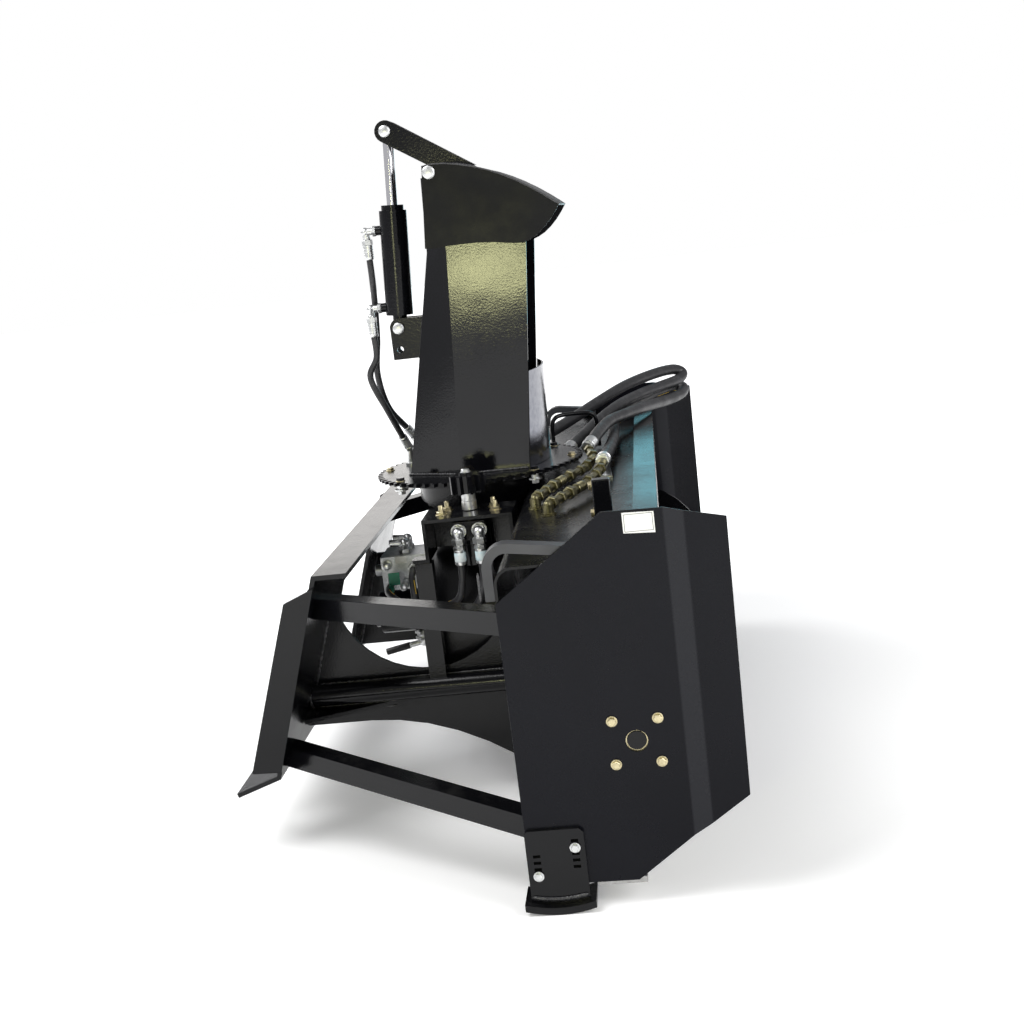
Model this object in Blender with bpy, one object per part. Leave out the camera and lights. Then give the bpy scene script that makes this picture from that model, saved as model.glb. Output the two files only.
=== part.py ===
"""Snow blower attachment for a skid-steer loader, in metres, +Z up.

+X is the operator's right, +Y is forward towards the snow. The chute turns about the Z axis,
and the skid shoes stand on Z = 0.
"""

import math

import bmesh
import bpy
from mathutils import Vector

GAP = 0.0003  # between pieces that touch
HOSE_GAP = 0.0018  # where a bent hose meets its coupler

# Housing
PANEL_INNER_X = 0.900
PANEL_THICK = 0.005
PANEL_FLARE = 0.016
CREASE_Y = 0.425
JOGGLE_Y = 0.458
JOGGLE = 0.010
WALL_Y = 0.1125
SHEET = 0.005
SHELL_TOP_Z = 0.6575
FLOOR_Z = 0.055

# Auger and impeller
SHAFT_Y, SHAFT_Z = 0.337, 0.318
SHAFT_R = 0.0175
AUGER_R = 0.195
AUGER_TUBE_R = 0.032
AUGER_PITCH = 0.40
FLIGHT_STEPS = 30
DRUM_Z = 0.360
DRUM_R = 0.285
DRUM_SHEET = 0.006
DRUM_BACK_Y = -0.120

# Ring gear and pinion
RING_Z = 0.6965
RING_THICK = 0.008
RING_TEETH = 64
PINION_TEETH = 9
MODULE = 0.0075
RING_PITCH_R = MODULE * RING_TEETH / 2
PINION_PITCH_R = MODULE * PINION_TEETH / 2
PINION_X = RING_PITCH_R + PINION_PITCH_R + 0.0008
THROAT_R = 0.144
FLANGE_R = 0.212
ROLLER_RING_R = 0.2223

# Chute: half width, back half width, and Y of front, side corner and back at three heights
CHUTE_SHEET = 0.004
CHUTE_STEPS = 8
CHUTE_LEVELS = (
    (RING_Z + RING_THICK + GAP, 0.140, 0.075, 0.130, -0.030, -0.156),
    (1.210, 0.132, 0.090, 0.180, 0.000, -0.050),
    (1.375, 0.130, 0.095, 0.020, -0.008, -0.042),
)

# Deflector and its cylinder
PIVOT_Y, PIVOT_Z = -0.016, 1.384
CHEEK_X = 0.1385
PIN_Y, PIN_Z = -0.119, 1.490
FOOT_Y, FOOT_Z = -0.147, 1.045
BARREL_R = 0.032
ROD_R = 0.0125
PIN_R = 0.010
ROD_END_CLEARANCE = 0.0075

# Quick-attach plate, as Y and Z of its bends
ATTACH_X = 0.565
ATTACH_THICK = 0.010
ATTACH_BENDS = ((-0.230, 0.594), (-0.300, 0.594), (-0.436, 0.170), (-0.531, 0.137))

WEB_X = 0.308
WEB_THICK = 0.008
STRUT = 0.045
SLOT_STEP = 0.0128

PAINT = ((0.012, 0.013, 0.017), 0.25, 0.0)
PANEL_PAINT = ((0.018, 0.020, 0.027), 0.35, 0.0)
STEEL = ((0.60, 0.60, 0.58), 0.30, 1.0)
ZINC = ((0.62, 0.55, 0.36), 0.35, 1.0)
CHROME = ((0.80, 0.80, 0.82), 0.08, 1.0)
ALUMINIUM = ((0.55, 0.56, 0.56), 0.40, 1.0)
RUBBER = ((0.02, 0.02, 0.02), 0.55, 0.0)
LABEL = ((0.85, 0.85, 0.83), 0.50, 0.0)

for old in list(bpy.data.objects):
    bpy.data.objects.remove(old, do_unlink=True)


# ---- shapes ----

def linked(name, mesh):
    """A new object in the scene."""
    made = bpy.data.objects.new(name, mesh)
    bpy.context.scene.collection.objects.link(made)
    return made


def from_bmesh(name, shape):
    """An object from a bmesh whose faces are turned outwards."""
    bmesh.ops.recalc_face_normals(shape, faces=shape.faces)
    mesh = bpy.data.meshes.new(name)
    shape.to_mesh(mesh)
    shape.free()
    return linked(name, mesh)


def placed(axis, a, b, along):
    """A point from its two coordinates across an axis and the one along it."""
    return {"X": (along, a, b), "Y": (a, along, b), "Z": (a, b, along)}[axis]


def prism(name, axis, outline, low, high):
    """An outline across an axis, extruded along it."""
    shape = bmesh.new()
    rings = [[shape.verts.new(placed(axis, a, b, end)) for a, b in outline] for end in (low, high)]
    for ring in rings:
        shape.faces.new(ring)
    count = len(outline)
    for i in range(count):
        j = (i + 1) % count
        shape.faces.new((rings[0][i], rings[0][j], rings[1][j], rings[1][i]))
    return from_bmesh(name, shape)


def box(name, x, y, z):
    """A box from its three ranges."""
    return prism(name, "Z", ((x[0], y[0]), (x[1], y[0]), (x[1], y[1]), (x[0], y[1])), *z)


def circle(centre, radius, sides, start=0.0, turn=2 * math.pi, closed=True):
    """Points of a circle or of an arc."""
    count = sides if closed else sides + 1
    angles = [start + turn * i / sides for i in range(count)]
    return [(centre[0] + radius * math.cos(t), centre[1] + radius * math.sin(t)) for t in angles]


def rod(name, axis, centre, radius, low, high, sides=24):
    """A round bar along an axis."""
    return prism(name, axis, circle(centre, radius, sides), low, high)


def rod_between(name, start, end, radius, sides=16):
    """A round bar between two points."""
    start, end = Vector(start), Vector(end)
    made = rod(name, "Z", (0, 0), radius, 0, (end - start).length, sides)
    turn = (end - start).to_track_quat("Z", "Y").to_matrix()
    for vertex in made.data.vertices:
        vertex.co = turn @ vertex.co + start
    return made


def square_tube(name, start, end, side):
    """A square bar between two points, with its top face level across."""
    start, end = Vector(start), Vector(end)
    along = (end - start).normalized()
    across = along.cross(Vector((0, 0, 1))).normalized()
    over = across.cross(along)
    half = side / 2
    shape = bmesh.new()
    rings = []
    for point in (start, end):
        corners = ((-half, -half), (half, -half), (half, half), (-half, half))
        rings.append([shape.verts.new(point + across * a + over * b) for a, b in corners])
    for ring in rings:
        shape.faces.new(ring)
    for i in range(4):
        j = (i + 1) % 4
        shape.faces.new((rings[0][i], rings[0][j], rings[1][j], rings[1][i]))
    return from_bmesh(name, shape)


def strip(points, thick):
    """The outline of a bent sheet of even thickness along a line of points."""
    sides = ([], [])
    for i, point in enumerate(points):
        here = Vector(point)
        before = (here - Vector(points[i - 1])).normalized() if i else None
        after = (Vector(points[i + 1]) - here).normalized() if i + 1 < len(points) else None
        first, second = before or after, after or before
        normals = [Vector((-way.y, way.x)) for way in (first, second)]
        middle = (normals[0] + normals[1]).normalized()
        reach = thick / 2 / middle.dot(normals[0])
        sides[0].append(tuple(here + middle * reach))
        sides[1].append(tuple(here - middle * reach))
    return sides[0] + sides[1][::-1]


def hose(name, points, radius, steps=2):
    """A round hose through points, smoothed by a Catmull-Rom curve."""
    knots = [Vector(p) for p in points]
    knots = [knots[0] * 2 - knots[1], *knots, knots[-1] * 2 - knots[-2]]
    route = []
    for i in range(1, len(knots) - 2):
        a, b, c, d = knots[i - 1:i + 3]
        for k in range(steps):
            t = k / steps
            bend = (2 * a - 5 * b + 4 * c - d) * t * t + (3 * b - a - 3 * c + d) * t ** 3
            route.append((2 * b + (c - a) * t + bend) / 2)
    route.append(knots[-2])
    curve = bpy.data.curves.new(name, "CURVE")
    curve.dimensions = "3D"
    curve.bevel_depth = radius
    curve.bevel_resolution = 2
    curve.use_fill_caps = True
    spline = curve.splines.new("POLY")
    spline.points.add(len(route) - 1)
    for point, place in zip(spline.points, route):
        point.co = (*place, 1)
    return linked(name, curve)


def combine(target, tools, operation):
    """Each tool joined to the target, or cut from it, and removed."""
    for tool in tools:
        step = target.modifiers.new("step", "BOOLEAN")
        step.operation = operation
        step.solver = "EXACT"
        step.object = tool
        seen = target.evaluated_get(bpy.context.evaluated_depsgraph_get())
        mesh = bpy.data.meshes.new_from_object(seen)
        target.modifiers.clear()
        target.data = mesh
        bpy.data.objects.remove(tool, do_unlink=True)
    return target


def join(target, *tools):
    return combine(target, tools, "UNION")


def cut(target, *tools):
    return combine(target, tools, "DIFFERENCE")


def paint(made, finish):
    """The object's own material."""
    colour, roughness, metallic = finish
    material = bpy.data.materials.new(made.name)
    material.use_nodes = True
    shader = material.node_tree.nodes["Principled BSDF"]
    shader.inputs["Base Color"].default_value = (*colour, 1)
    shader.inputs["Roughness"].default_value = roughness
    shader.inputs["Metallic"].default_value = metallic
    made.data.materials.clear()
    made.data.materials.append(material)
    return made


def hinge_at(made, place):
    """Moves the object's origin to a point on its joint's axis, leaving its shape in place."""
    for vertex in made.data.vertices:
        vertex.co -= Vector(place)
    made.location = place
    return made


# ---- frame behind the housing ----

def plate_front(z):
    """Y of the quick-attach plate's front face, at a height, with the touching gap."""
    (top_y, top_z), (low_y, low_z) = ATTACH_BENDS[1:3]
    slope = (top_y - low_y) / (top_z - low_z)
    reach = (ATTACH_THICK / 2 + GAP) * math.hypot(1, slope)
    return top_y + slope * (z - top_z) + reach


def behind_plate():
    """A cutter for whatever would reach into the quick-attach plate."""
    low, high = 0.05, 0.62
    outline = ((plate_front(low), low), (plate_front(high), high), (-0.9, high), (-0.9, low))
    return prism("cutter", "X", outline, -1, 1)


def inside_wall():
    """A cutter for whatever would reach into the housing's rear wall."""
    return box("cutter", (-1, 1), (WALL_Y - GAP, 0.5), (0, 1))


def quick_attach_plate():
    plate = prism("quick_attach_plate", "X", strip(ATTACH_BENDS, ATTACH_THICK), -ATTACH_X, ATTACH_X)
    window = box("cutter", (-0.17, 0.17), (-0.5, -0.2), (0.26, 0.49))
    slots = [box("cutter", (x - 0.035, x + 0.035), (-0.50, -0.465), (0.1, 0.2)) for x in (-0.42, 0.42)]
    paint(cut(plate, window, *slots), PAINT)


def attach_cheek(name, side):
    """The cheek welded to the plate's end, reaching behind it."""
    inner, top, low = ATTACH_X + GAP, 0.575, 0.185
    outline = ((plate_front(top), top), (-0.367, 0.548), (-0.489, low + 0.002), (plate_front(low), low))
    paint(prism(name, "X", outline, side * inner, side * (inner + 0.010)), PAINT)


def struts(label, side):
    ends = {
        "upper_strut_": ((0.462, -0.352, 0.514), (0.868, 0.16, 0.547)),
        "lower_strut_": ((0.462, -0.470, 0.203), (0.868, 0.16, 0.146)),
    }
    for name, (rear, front) in ends.items():
        rear, front = [(side * x, y, z) for x, y, z in (rear, front)]
        bar = square_tube(name + label, rear, front, STRUT)
        paint(cut(bar, behind_plate(), inside_wall()), PAINT)


def side_web(label, side):
    """The arched web with its round tube and triangular gusset."""
    arch_y, arch_z, arch_r = -0.125, 0.510, 0.205
    foot_z, column_z, front_y = 0.193, 0.44, WALL_Y - GAP
    left = math.pi + math.asin((arch_z - column_z) / arch_r)
    right = 2 * math.pi - math.acos(0.175 / arch_r)
    arch = circle((arch_y, arch_z), arch_r, 14, left, right - left, closed=False)
    belly_ys = [front_y - 0.065 * i for i in range(7)]
    belly = [(y, max(0.07, foot_z - 1.05 * (y + 0.28) ** 2)) for y in belly_ys]
    outline = [
        (plate_front(foot_z), foot_z), (plate_front(column_z), column_z), *arch,
        (front_y, 0.42), *belly,
    ]
    web = prism("side_web_" + label, "X", outline, side * WEB_X, side * (WEB_X + WEB_THICK))
    gusset_z, gusset_top = 0.226, 0.236
    inner, outer, rear_y = WEB_X + 0.002, WEB_X + WEB_THICK + 0.085, plate_front(gusset_top)
    gusset = ((side * inner, rear_y), (side * outer, rear_y), (side * inner, -0.205))
    paint(join(web, prism("gusset", "Z", gusset, gusset_z, gusset_top)), PAINT)

    tube_r, tube_z = 0.024, 0.270
    outside = WEB_X + WEB_THICK + GAP
    tube = rod("side_tube_" + label, "Y", (side * (outside + tube_r), tube_z), tube_r, -0.5, front_y, 20)
    paint(cut(tube, behind_plate()), PAINT)


# ---- housing ----

def end_panel(label, side):
    """One end panel, set outwards in front of its crease by a narrow joggle, drilled for the bearing."""
    def low_edge(y):
        return 0.048 + 0.157 * (y - 0.315) / 0.215

    def high_edge(y):
        return 0.743 - 0.023 * (y - CREASE_Y) / 0.1076

    rear = ((0.113, 0.050), (0.111, 0.595), (0.315, 0.745), (CREASE_Y, 0.743), (CREASE_Y, low_edge(CREASE_Y)),
            (0.315, 0.048))
    joggle = ((CREASE_Y, 0.743), (JOGGLE_Y, high_edge(JOGGLE_Y)), (JOGGLE_Y, low_edge(JOGGLE_Y)),
              (CREASE_Y, low_edge(CREASE_Y)))
    front = ((JOGGLE_Y, high_edge(JOGGLE_Y)), (0.5326, 0.720), (0.530, 0.205), (JOGGLE_Y, low_edge(JOGGLE_Y)))
    shape = bmesh.new()
    for outline in (rear, joggle, front):
        shape.faces.new([shape.verts.new((side * PANEL_INNER_X, y, z)) for y, z in outline])
    bmesh.ops.remove_doubles(shape, verts=shape.verts, dist=0.0001)
    made = bmesh.ops.extrude_face_region(shape, geom=shape.faces[:])
    moved = [item for item in made["geom"] if isinstance(item, bmesh.types.BMVert)]
    bmesh.ops.translate(shape, vec=(side * PANEL_THICK, 0, 0), verts=moved)
    for vertex in shape.verts:
        stepped = min(1.0, max(0.0, (vertex.co.y - CREASE_Y) / (JOGGLE_Y - CREASE_Y)))
        beyond = max(0.0, vertex.co.y - JOGGLE_Y)
        vertex.co.x += side * (JOGGLE * stepped + (PANEL_FLARE - JOGGLE) * beyond / (0.5326 - JOGGLE_Y))
    panel = from_bmesh("end_panel_" + label, shape)
    paint(cut(panel, *bearing_holes(side)), PANEL_PAINT)


def bolt_places():
    """Y and Z of the bearing's four bolts."""
    half = 0.0415
    return [(SHAFT_Y + a * half, SHAFT_Z + b * half) for a in (-1, 1) for b in (-1, 1)]


def bearing_holes(side):
    low, high = sorted((side * 0.88, side * 0.92))
    holes = [rod("cutter", "X", (SHAFT_Y, SHAFT_Z), SHAFT_R + 0.003, low, high)]
    holes += [rod("cutter", "X", place, 0.0058, low, high, 12) for place in bolt_places()]
    return holes


def shaft_bearing(label, side):
    """A square flange bearing inside the panel, with its bolts through the panel."""
    inside = PANEL_INNER_X - GAP
    half = 0.058
    corners = ((-half, -half), (half, -half), (half, half), (-half, half))
    flange = prism("shaft_bearing_" + label, "X", [(SHAFT_Y + a, SHAFT_Z + b) for a, b in corners],
                   side * inside, side * (inside - 0.014))
    outside = PANEL_INNER_X + PANEL_THICK + GAP
    pieces = [rod("hub", "X", (SHAFT_Y, SHAFT_Z), 0.040, side * (inside - 0.010), side * (inside - 0.036))]
    for place in bolt_places():
        pieces.append(rod("shank", "X", place, 0.005, side * (inside - 0.010), side * (outside + 0.002), 12))
        pieces.append(rod("washer", "X", place, 0.0095, side * outside, side * (outside + 0.0018), 16))
        pieces.append(rod("head", "X", place, 0.0076, side * (outside + 0.001), side * (outside + 0.007), 6))
    bore = rod("cutter", "X", (SHAFT_Y, SHAFT_Z), SHAFT_R + 0.0005, side * 0.8, side * 1.0)
    paint(cut(join(flange, *pieces), bore), ZINC)


def housing_shell():
    """The bent sheet from the floor lip up the rear wall to the top lip."""
    bend = 0.12
    corner_y = WALL_Y + SHEET / 2 + bend
    low_bend = circle((corner_y, FLOOR_Z + bend), bend, 8, -math.pi / 2, -math.pi / 2, closed=False)
    top_bend = circle((WALL_Y + SHEET / 2 + 0.03, SHELL_TOP_Z - 0.03), 0.03, 5, math.pi, -math.pi / 2,
                      closed=False)
    points = [(0.322, FLOOR_Z), *low_bend, *top_bend, (0.365, SHELL_TOP_Z)]
    end = PANEL_INNER_X - GAP
    shell = prism("housing_shell", "X", strip(points, SHEET), -end, end)
    mouth = rod("cutter", "Y", (0, DRUM_Z), DRUM_R - 0.004, 0.05, 0.15, 40)
    throat = rod("cutter", "Z", (0, 0), THROAT_R + 0.006 + GAP, 0.5, 0.8, 40)
    paint(cut(shell, mouth, throat), PAINT)


def housing_bars():
    end = PANEL_INNER_X - GAP
    beam = box("top_beam", (-end, end), (0.3653, 0.415), (0.645, 0.695))
    paint(beam, PAINT)
    edge = box("cutting_edge", (-end, end), (0.238, 0.330), (0.040, 0.0522))
    holes = [rod("cutter", "Z", (x, 0.285), 0.007, 0, 0.1, 10) for x in (-0.6, -0.2, 0.2, 0.6)]
    paint(cut(edge, *holes), STEEL)


def corner_bar(label, side):
    """The thick bent bar that closes the shell's upper rear corner beside an end panel."""
    thick = 0.018
    start_y = WALL_Y - GAP - thick / 2
    bend = circle((start_y + 0.035, 0.660), 0.035, 6, math.pi, -math.pi / 2 - 0.15, closed=False)
    points = [(start_y, 0.600), *bend, (0.250, 0.680)]
    bar = prism("corner_bar_" + label, "X", strip(points, thick), side * 0.868, side * (PANEL_INNER_X - GAP))
    paint(bar, PAINT)


def skid_shoe(label, side):
    """A shoe bolted outside the panel, with two columns of adjusting slots."""
    face = PANEL_INNER_X + PANEL_THICK + GAP
    low, high = face, face + 0.008
    plate = ((0.112, 0.010), (0.112, 0.156), (0.118, 0.162), (0.214, 0.162), (0.222, 0.154),
             (0.222, 0.010))
    shoe = prism("skid_shoe_" + label, "X", plate, side * low, side * high)
    rise = [(0.1 + 0.0665 * 2 * i / 8, 0.010 * (i / 4 - 1) ** 2) for i in range(9)]
    sole = prism("sole", "X", rise + [(y, z + 0.014) for y, z in reversed(rise)],
                 side * (face - 0.055), side * (high + 0.014))
    columns = ((0.131, 0.0735, (1, 2, 3)), (0.204, 0.1258, (1, -1, -2, -3)))
    slots, bolts = [], []
    for y, bolt_z, rows in columns:
        for z in (bolt_z + SLOT_STEP * row for row in rows):
            slots.append(box("cutter", sorted((side * 0.88, side * 0.95)), (y - 0.0068, y + 0.0068),
                             (z - 0.0030, z + 0.0030)))
        bolts.append(rod("washer", "X", (y, bolt_z), 0.0090, side * (high - 0.001), side * (high + 0.002), 16))
        bolts.append(rod("head", "X", (y, bolt_z), 0.0072, side * (high + 0.001), side * (high + 0.008), 6))
    paint(join(cut(join(shoe, sole), *slots), *bolts), PAINT)


# ---- drum, impeller, auger and drive ----

def impeller_drum():
    """The impeller's drum with its back, open at the front and under the throat."""
    drum = rod("impeller_drum", "Y", (0, DRUM_Z), DRUM_R, DRUM_BACK_Y, WALL_Y - GAP, 48)
    inside = rod("cutter", "Y", (0, DRUM_Z), DRUM_R - DRUM_SHEET, DRUM_BACK_Y + DRUM_SHEET, 0.3, 48)
    throat = rod("cutter", "Z", (0, 0), THROAT_R, 0.45, 0.8, 40)
    shaft = rod("cutter", "Y", (0, DRUM_Z), 0.0205, -0.2, 0, 20)
    paint(cut(drum, inside, throat, shaft), PAINT)


def throat_collar():
    """The round throat on the drum and the fixed flange that carries the ring."""
    collar = rod("throat_collar", "Z", (0, 0), THROAT_R + DRUM_SHEET, 0.5, RING_Z - 0.005, 40)
    flange = rod("flange", "Z", (0, 0), FLANGE_R, RING_Z - 0.0085, RING_Z - 0.0025, 48)
    bore = rod("cutter", "Z", (0, 0), THROAT_R, 0.45, 0.8, 40)
    below = rod("cutter", "Y", (0, DRUM_Z), DRUM_R + GAP, -0.3, 0.3, 48)
    paint(cut(join(collar, flange), bore, below), PAINT)


def impeller():
    """Hub, shaft and four bent paddles."""
    turbine = rod("impeller", "Y", (0, DRUM_Z), 0.045, -0.095, 0.060, 24)
    shaft = rod("shaft", "Y", (0, DRUM_Z), 0.020, -0.1245, 0.262, 20)
    blades = []
    for i in range(4):
        angle = math.pi / 4 + i * math.pi / 2
        out = Vector((math.cos(angle), math.sin(angle)))
        side = Vector((-out.y, out.x))
        tip = out * 0.268 + side * 0.035
        line = [(0, DRUM_Z), tuple(out * 0.200 + Vector((0, DRUM_Z))), tuple(tip + Vector((0, DRUM_Z)))]
        line[0] = tuple(out * 0.030 + Vector((0, DRUM_Z)))
        blades.append(prism("blade", "Y", strip(line, 0.008), -0.100, 0.085))
    wheel = join(turbine, shaft, *blades)
    paint(hinge_at(wheel, (0, 0, DRUM_Z)), PAINT)


def flight(start, end, hand):
    """One auger flight: a screw-shaped plate from start to end along X."""
    inner, outer, thick = AUGER_TUBE_R - 0.0077, AUGER_R, 0.007
    turns = abs(end - start) / AUGER_PITCH
    steps = round(turns * FLIGHT_STEPS)
    shape = bmesh.new()
    rows = []
    for i in range(steps + 1):
        x = start + (end - start) * i / steps
        angle = 0.05 + hand * 2 * math.pi * turns * i / steps
        row = []
        for radius in (inner, outer):
            for shift in (-thick / 2, thick / 2):
                y = SHAFT_Y + radius * math.cos(angle)
                z = SHAFT_Z + radius * math.sin(angle)
                row.append(shape.verts.new((x + shift, y, z)))
        rows.append((row[0], row[1], row[3], row[2]))
    for (a, b, c, d), (e, f, g, h) in zip(rows, rows[1:]):
        for corners in ((a, b, f), (a, f, e), (b, c, g), (b, g, f), (c, d, h), (c, h, g), (d, a, h), (a, e, h)):
            shape.faces.new(corners)
    shape.faces.new(rows[0])
    shape.faces.new(rows[-1])
    return from_bmesh("flight", shape)


def auger():
    """The auger's two opposed flights on tubes, with the shaft through the bearings and gearbox."""
    tube_end = PANEL_INNER_X - 0.050
    shaft = rod("auger", "X", (SHAFT_Y, SHAFT_Z), SHAFT_R, -0.902, 0.902, 20)
    tubes = [rod("tube", "X", (SHAFT_Y, SHAFT_Z), AUGER_TUBE_R, side * 0.085, side * tube_end, 20)
             for side in (-1, 1)]
    for side, tube in zip((-1, 1), tubes):
        join(tube, flight(side * 0.840, side * 0.120, side))
    paint(hinge_at(join(shaft, *tubes), (0, SHAFT_Y, SHAFT_Z)), PAINT)


def gearbox():
    """Worm gearbox: the impeller's shaft is the worm, the auger's shaft the wheel."""
    case = rod("gearbox", "X", (SHAFT_Y, SHAFT_Z), 0.068, -0.045, 0.045, 28)
    worm = rod("worm", "Y", (0, DRUM_Z), 0.042, SHAFT_Y - 0.085, SHAFT_Y + 0.075, 24)
    seals = [rod("seal", "X", (SHAFT_Y, SHAFT_Z), 0.036, side * 0.040, side * 0.072, 24) for side in (-1, 1)]
    join(case, worm, *seals)
    cross = rod("cutter", "X", (SHAFT_Y, SHAFT_Z), SHAFT_R + 0.0005, -0.2, 0.2, 20)
    inlet = rod("cutter", "Y", (0, DRUM_Z), 0.0205, 0.1, 0.2625, 20)
    paint(cut(case, cross, inlet), PAINT)


def drive_motor():
    """The main motor bolted behind the drum."""
    front = DRUM_BACK_Y - GAP
    half = 0.065
    flange = box("drive_motor", (-half, half), (front - 0.018, front), (DRUM_Z - half, DRUM_Z + half))
    body = rod("body", "Y", (0, DRUM_Z), 0.052, front - 0.165, front - 0.010, 28)
    ports = [rod("port", "X", (front - 0.13, DRUM_Z + 0.02), 0.017, side * 0.03, side * 0.072, 16)
             for side in (-1, 1)]
    cap = rod("cap", "Y", (0, DRUM_Z), 0.036, front - 0.180, front - 0.160, 24)
    join(flange, body, cap, *ports)
    socket = rod("cutter", "Y", (0, DRUM_Z), 0.0205, front - 0.010, 0, 20)
    paint(cut(flange, socket), PAINT)


def valve_block():
    """The aluminium control valve above the motor, with its fittings."""
    low = DRUM_Z + 0.0653
    block = box("valve_block", (-0.055, 0.055), (-0.262, -0.150), (low, 0.508))
    relief = rod("relief", "Y", (0.02, 0.470), 0.014, -0.282, -0.255, 16)
    fittings = [rod("fitting", "X", (y, z), 0.013, 0.050, 0.085, 6) for y, z in ((-0.235, 0.45), (-0.18, 0.48))]
    top = [rod("fitting", "Z", (x, -0.205), 0.013, 0.500, 0.530, 6) for x in (-0.030, 0.025)]
    paint(join(block, relief, *fittings, *top), ALUMINIUM)


def shutoff_valve():
    """The shut-off valve under the motor and its lever."""
    body = rod("shutoff_valve", "Z", (0, -0.190), 0.018, 0.283, DRUM_Z - 0.0523, 16)
    paint(body, STEEL)
    lever = rod("valve_lever", "Z", (0, -0.190), 0.012, 0.268, 0.2827, 16)
    arm = rod_between("arm", (0, -0.190, 0.276), (0, -0.235, 0.268), 0.006, 10)
    grip = rod_between("grip", (0, -0.228, 0.2692), (0, -0.288, 0.257), 0.0085, 12)
    paint(hinge_at(join(lever, arm, grip), (0, -0.190, 0.27)), RUBBER)


# ---- chute rotation drive ----

def rotation_drive():
    front, half = 0.350, 0.100
    top = box("rotation_bracket", (0.222, front), (-half, half), (0.640, 0.648))
    legs = [box("leg", (0.222, front), sorted((side * half, side * (half - 0.008))), (0.553, 0.645))
            for side in (-1, 1)]
    back = box("back", (0.222, 0.230), (-half, half), (0.560, 0.645))
    foot = box("foot", (0.312, front), (-0.130, -half + 0.004), (0.553, 0.561))
    hole = rod("cutter", "Z", (PINION_X, 0), 0.0155, 0.6, 0.7)
    paint(cut(join(top, *legs, back, foot), hole), PAINT)

    outside = WEB_X + WEB_THICK + GAP
    post = box("bracket_post", (outside, outside + 0.034), (-0.126, -0.088), (0.26, 0.553 - GAP))
    tube = rod("cutter", "Y", (outside + 0.024, 0.270), 0.024 + GAP, -1, 1, 20)
    below = box("cutter", (0.2, 0.5), (-0.2, 0), (0.2, 0.281))
    paint(cut(post, below, tube), PAINT)

    body = rod("rotation_motor", "Z", (PINION_X, 0), 0.040, 0.530, 0.640 - GAP, 28)
    head = box("head", (PINION_X - 0.030, PINION_X + 0.052), (-0.035, 0.035), (0.590, 0.632))
    paint(join(body, head), PAINT)


def rotation_line(label, y, route):
    """One elbow on the rotation motor with its ferrule, and the hose that it feeds."""
    port, out = PINION_X + 0.052 + GAP, 0.347
    elbow = rod("rotation_elbow_" + label, "X", (y, 0.612), 0.011, port, out, 6)
    ball = rod("ball", "Z", (out, y), 0.010, 0.600, 0.624, 12)
    nut = rod("nut", "Z", (out, y), 0.0125, 0.583, 0.601, 6)
    ferrule = rod("ferrule", "Z", (out, y), 0.0105, 0.548, 0.584, 16)
    paint(join(elbow, ball, nut, ferrule), STEEL)
    start = (out, y, 0.548 - HOSE_GAP)
    paint(hose("rotation_hose_" + label, (start, *route), 0.008), RUBBER)


def tooth_outline(teeth, pitch_r, tip, root, share, turn):
    """A gear's outline of straight-sided teeth; share is the tooth's part of the pitch."""
    outline = []
    step = 2 * math.pi / teeth
    for i in range(teeth):
        middle = turn + i * step
        for radius, part in ((root, -0.30), (tip, -0.14), (tip, 0.14), (root, 0.30)):
            angle = middle + step * part * share / 0.5
            outline.append(((pitch_r + radius) * math.cos(angle), (pitch_r + radius) * math.sin(angle)))
    return outline


def pinion():
    outline = tooth_outline(PINION_TEETH, PINION_PITCH_R, 0.0048, -0.0068, 0.44, math.pi)
    centred = [(PINION_X + x, y) for x, y in outline]
    gear = prism("pinion", "Z", centred, 0.6875, 0.728)
    shaft = rod("shaft", "Z", (PINION_X, 0), 0.0145, 0.6405, 0.695, 20)
    cap = rod("cap", "Z", (PINION_X, 0), 0.016, 0.725, 0.733, 20)
    paint(hinge_at(join(gear, shaft, cap), (PINION_X, 0, 0)), PAINT)


# ---- chute ----

def ring_gear():
    outline = tooth_outline(RING_TEETH, RING_PITCH_R, 0.0055, -0.0065, 0.44, math.pi / RING_TEETH)
    top = RING_Z + RING_THICK
    ring = prism("ring_gear", "Z", outline, RING_Z, top)
    bore = rod("cutter", "Z", (0, 0), THROAT_R, 0.6, 0.8, 40)
    bolts = []
    for i in range(4):
        place = circle((0, 0), ROLLER_RING_R, 4, math.radians(40))[i]
        bolts.append(rod("head", "Z", place, 0.010, top - 0.001, top + 0.008, 6))
    paint(join(cut(ring, bore), *bolts), PAINT)


def ring_roller(index):
    """A retaining roller that runs under the fixed flange."""
    place = circle((0, 0), ROLLER_RING_R, 4, math.radians(40))[index]
    top = RING_Z - GAP
    roller = rod(f"ring_roller_{index + 1}", "Z", place, 0.0095, RING_Z - 0.0105, top, 16)
    washer = rod("washer", "Z", place, 0.016, RING_Z - 0.0140, RING_Z - 0.0100, 16)
    nut = rod("nut", "Z", place, 0.009, RING_Z - 0.0230, RING_Z - 0.0135, 6)
    paint(join(roller, washer, nut), STEEL)


def chute_line(level, thick):
    """The chute's section at a level as an open line from one front edge to the other, moved in by thick."""
    _, side_x, back_x, front_y, corner_y, back_y = level
    outer = [(side_x, front_y), (side_x, corner_y), (back_x, back_y), (-back_x, back_y),
             (-side_x, corner_y), (-side_x, front_y)]
    sides = strip(outer, 2 * thick)
    lines = sides[:len(outer)], sides[len(outer):][::-1]
    return min(lines, key=lambda line: abs(line[1][0]))


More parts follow.
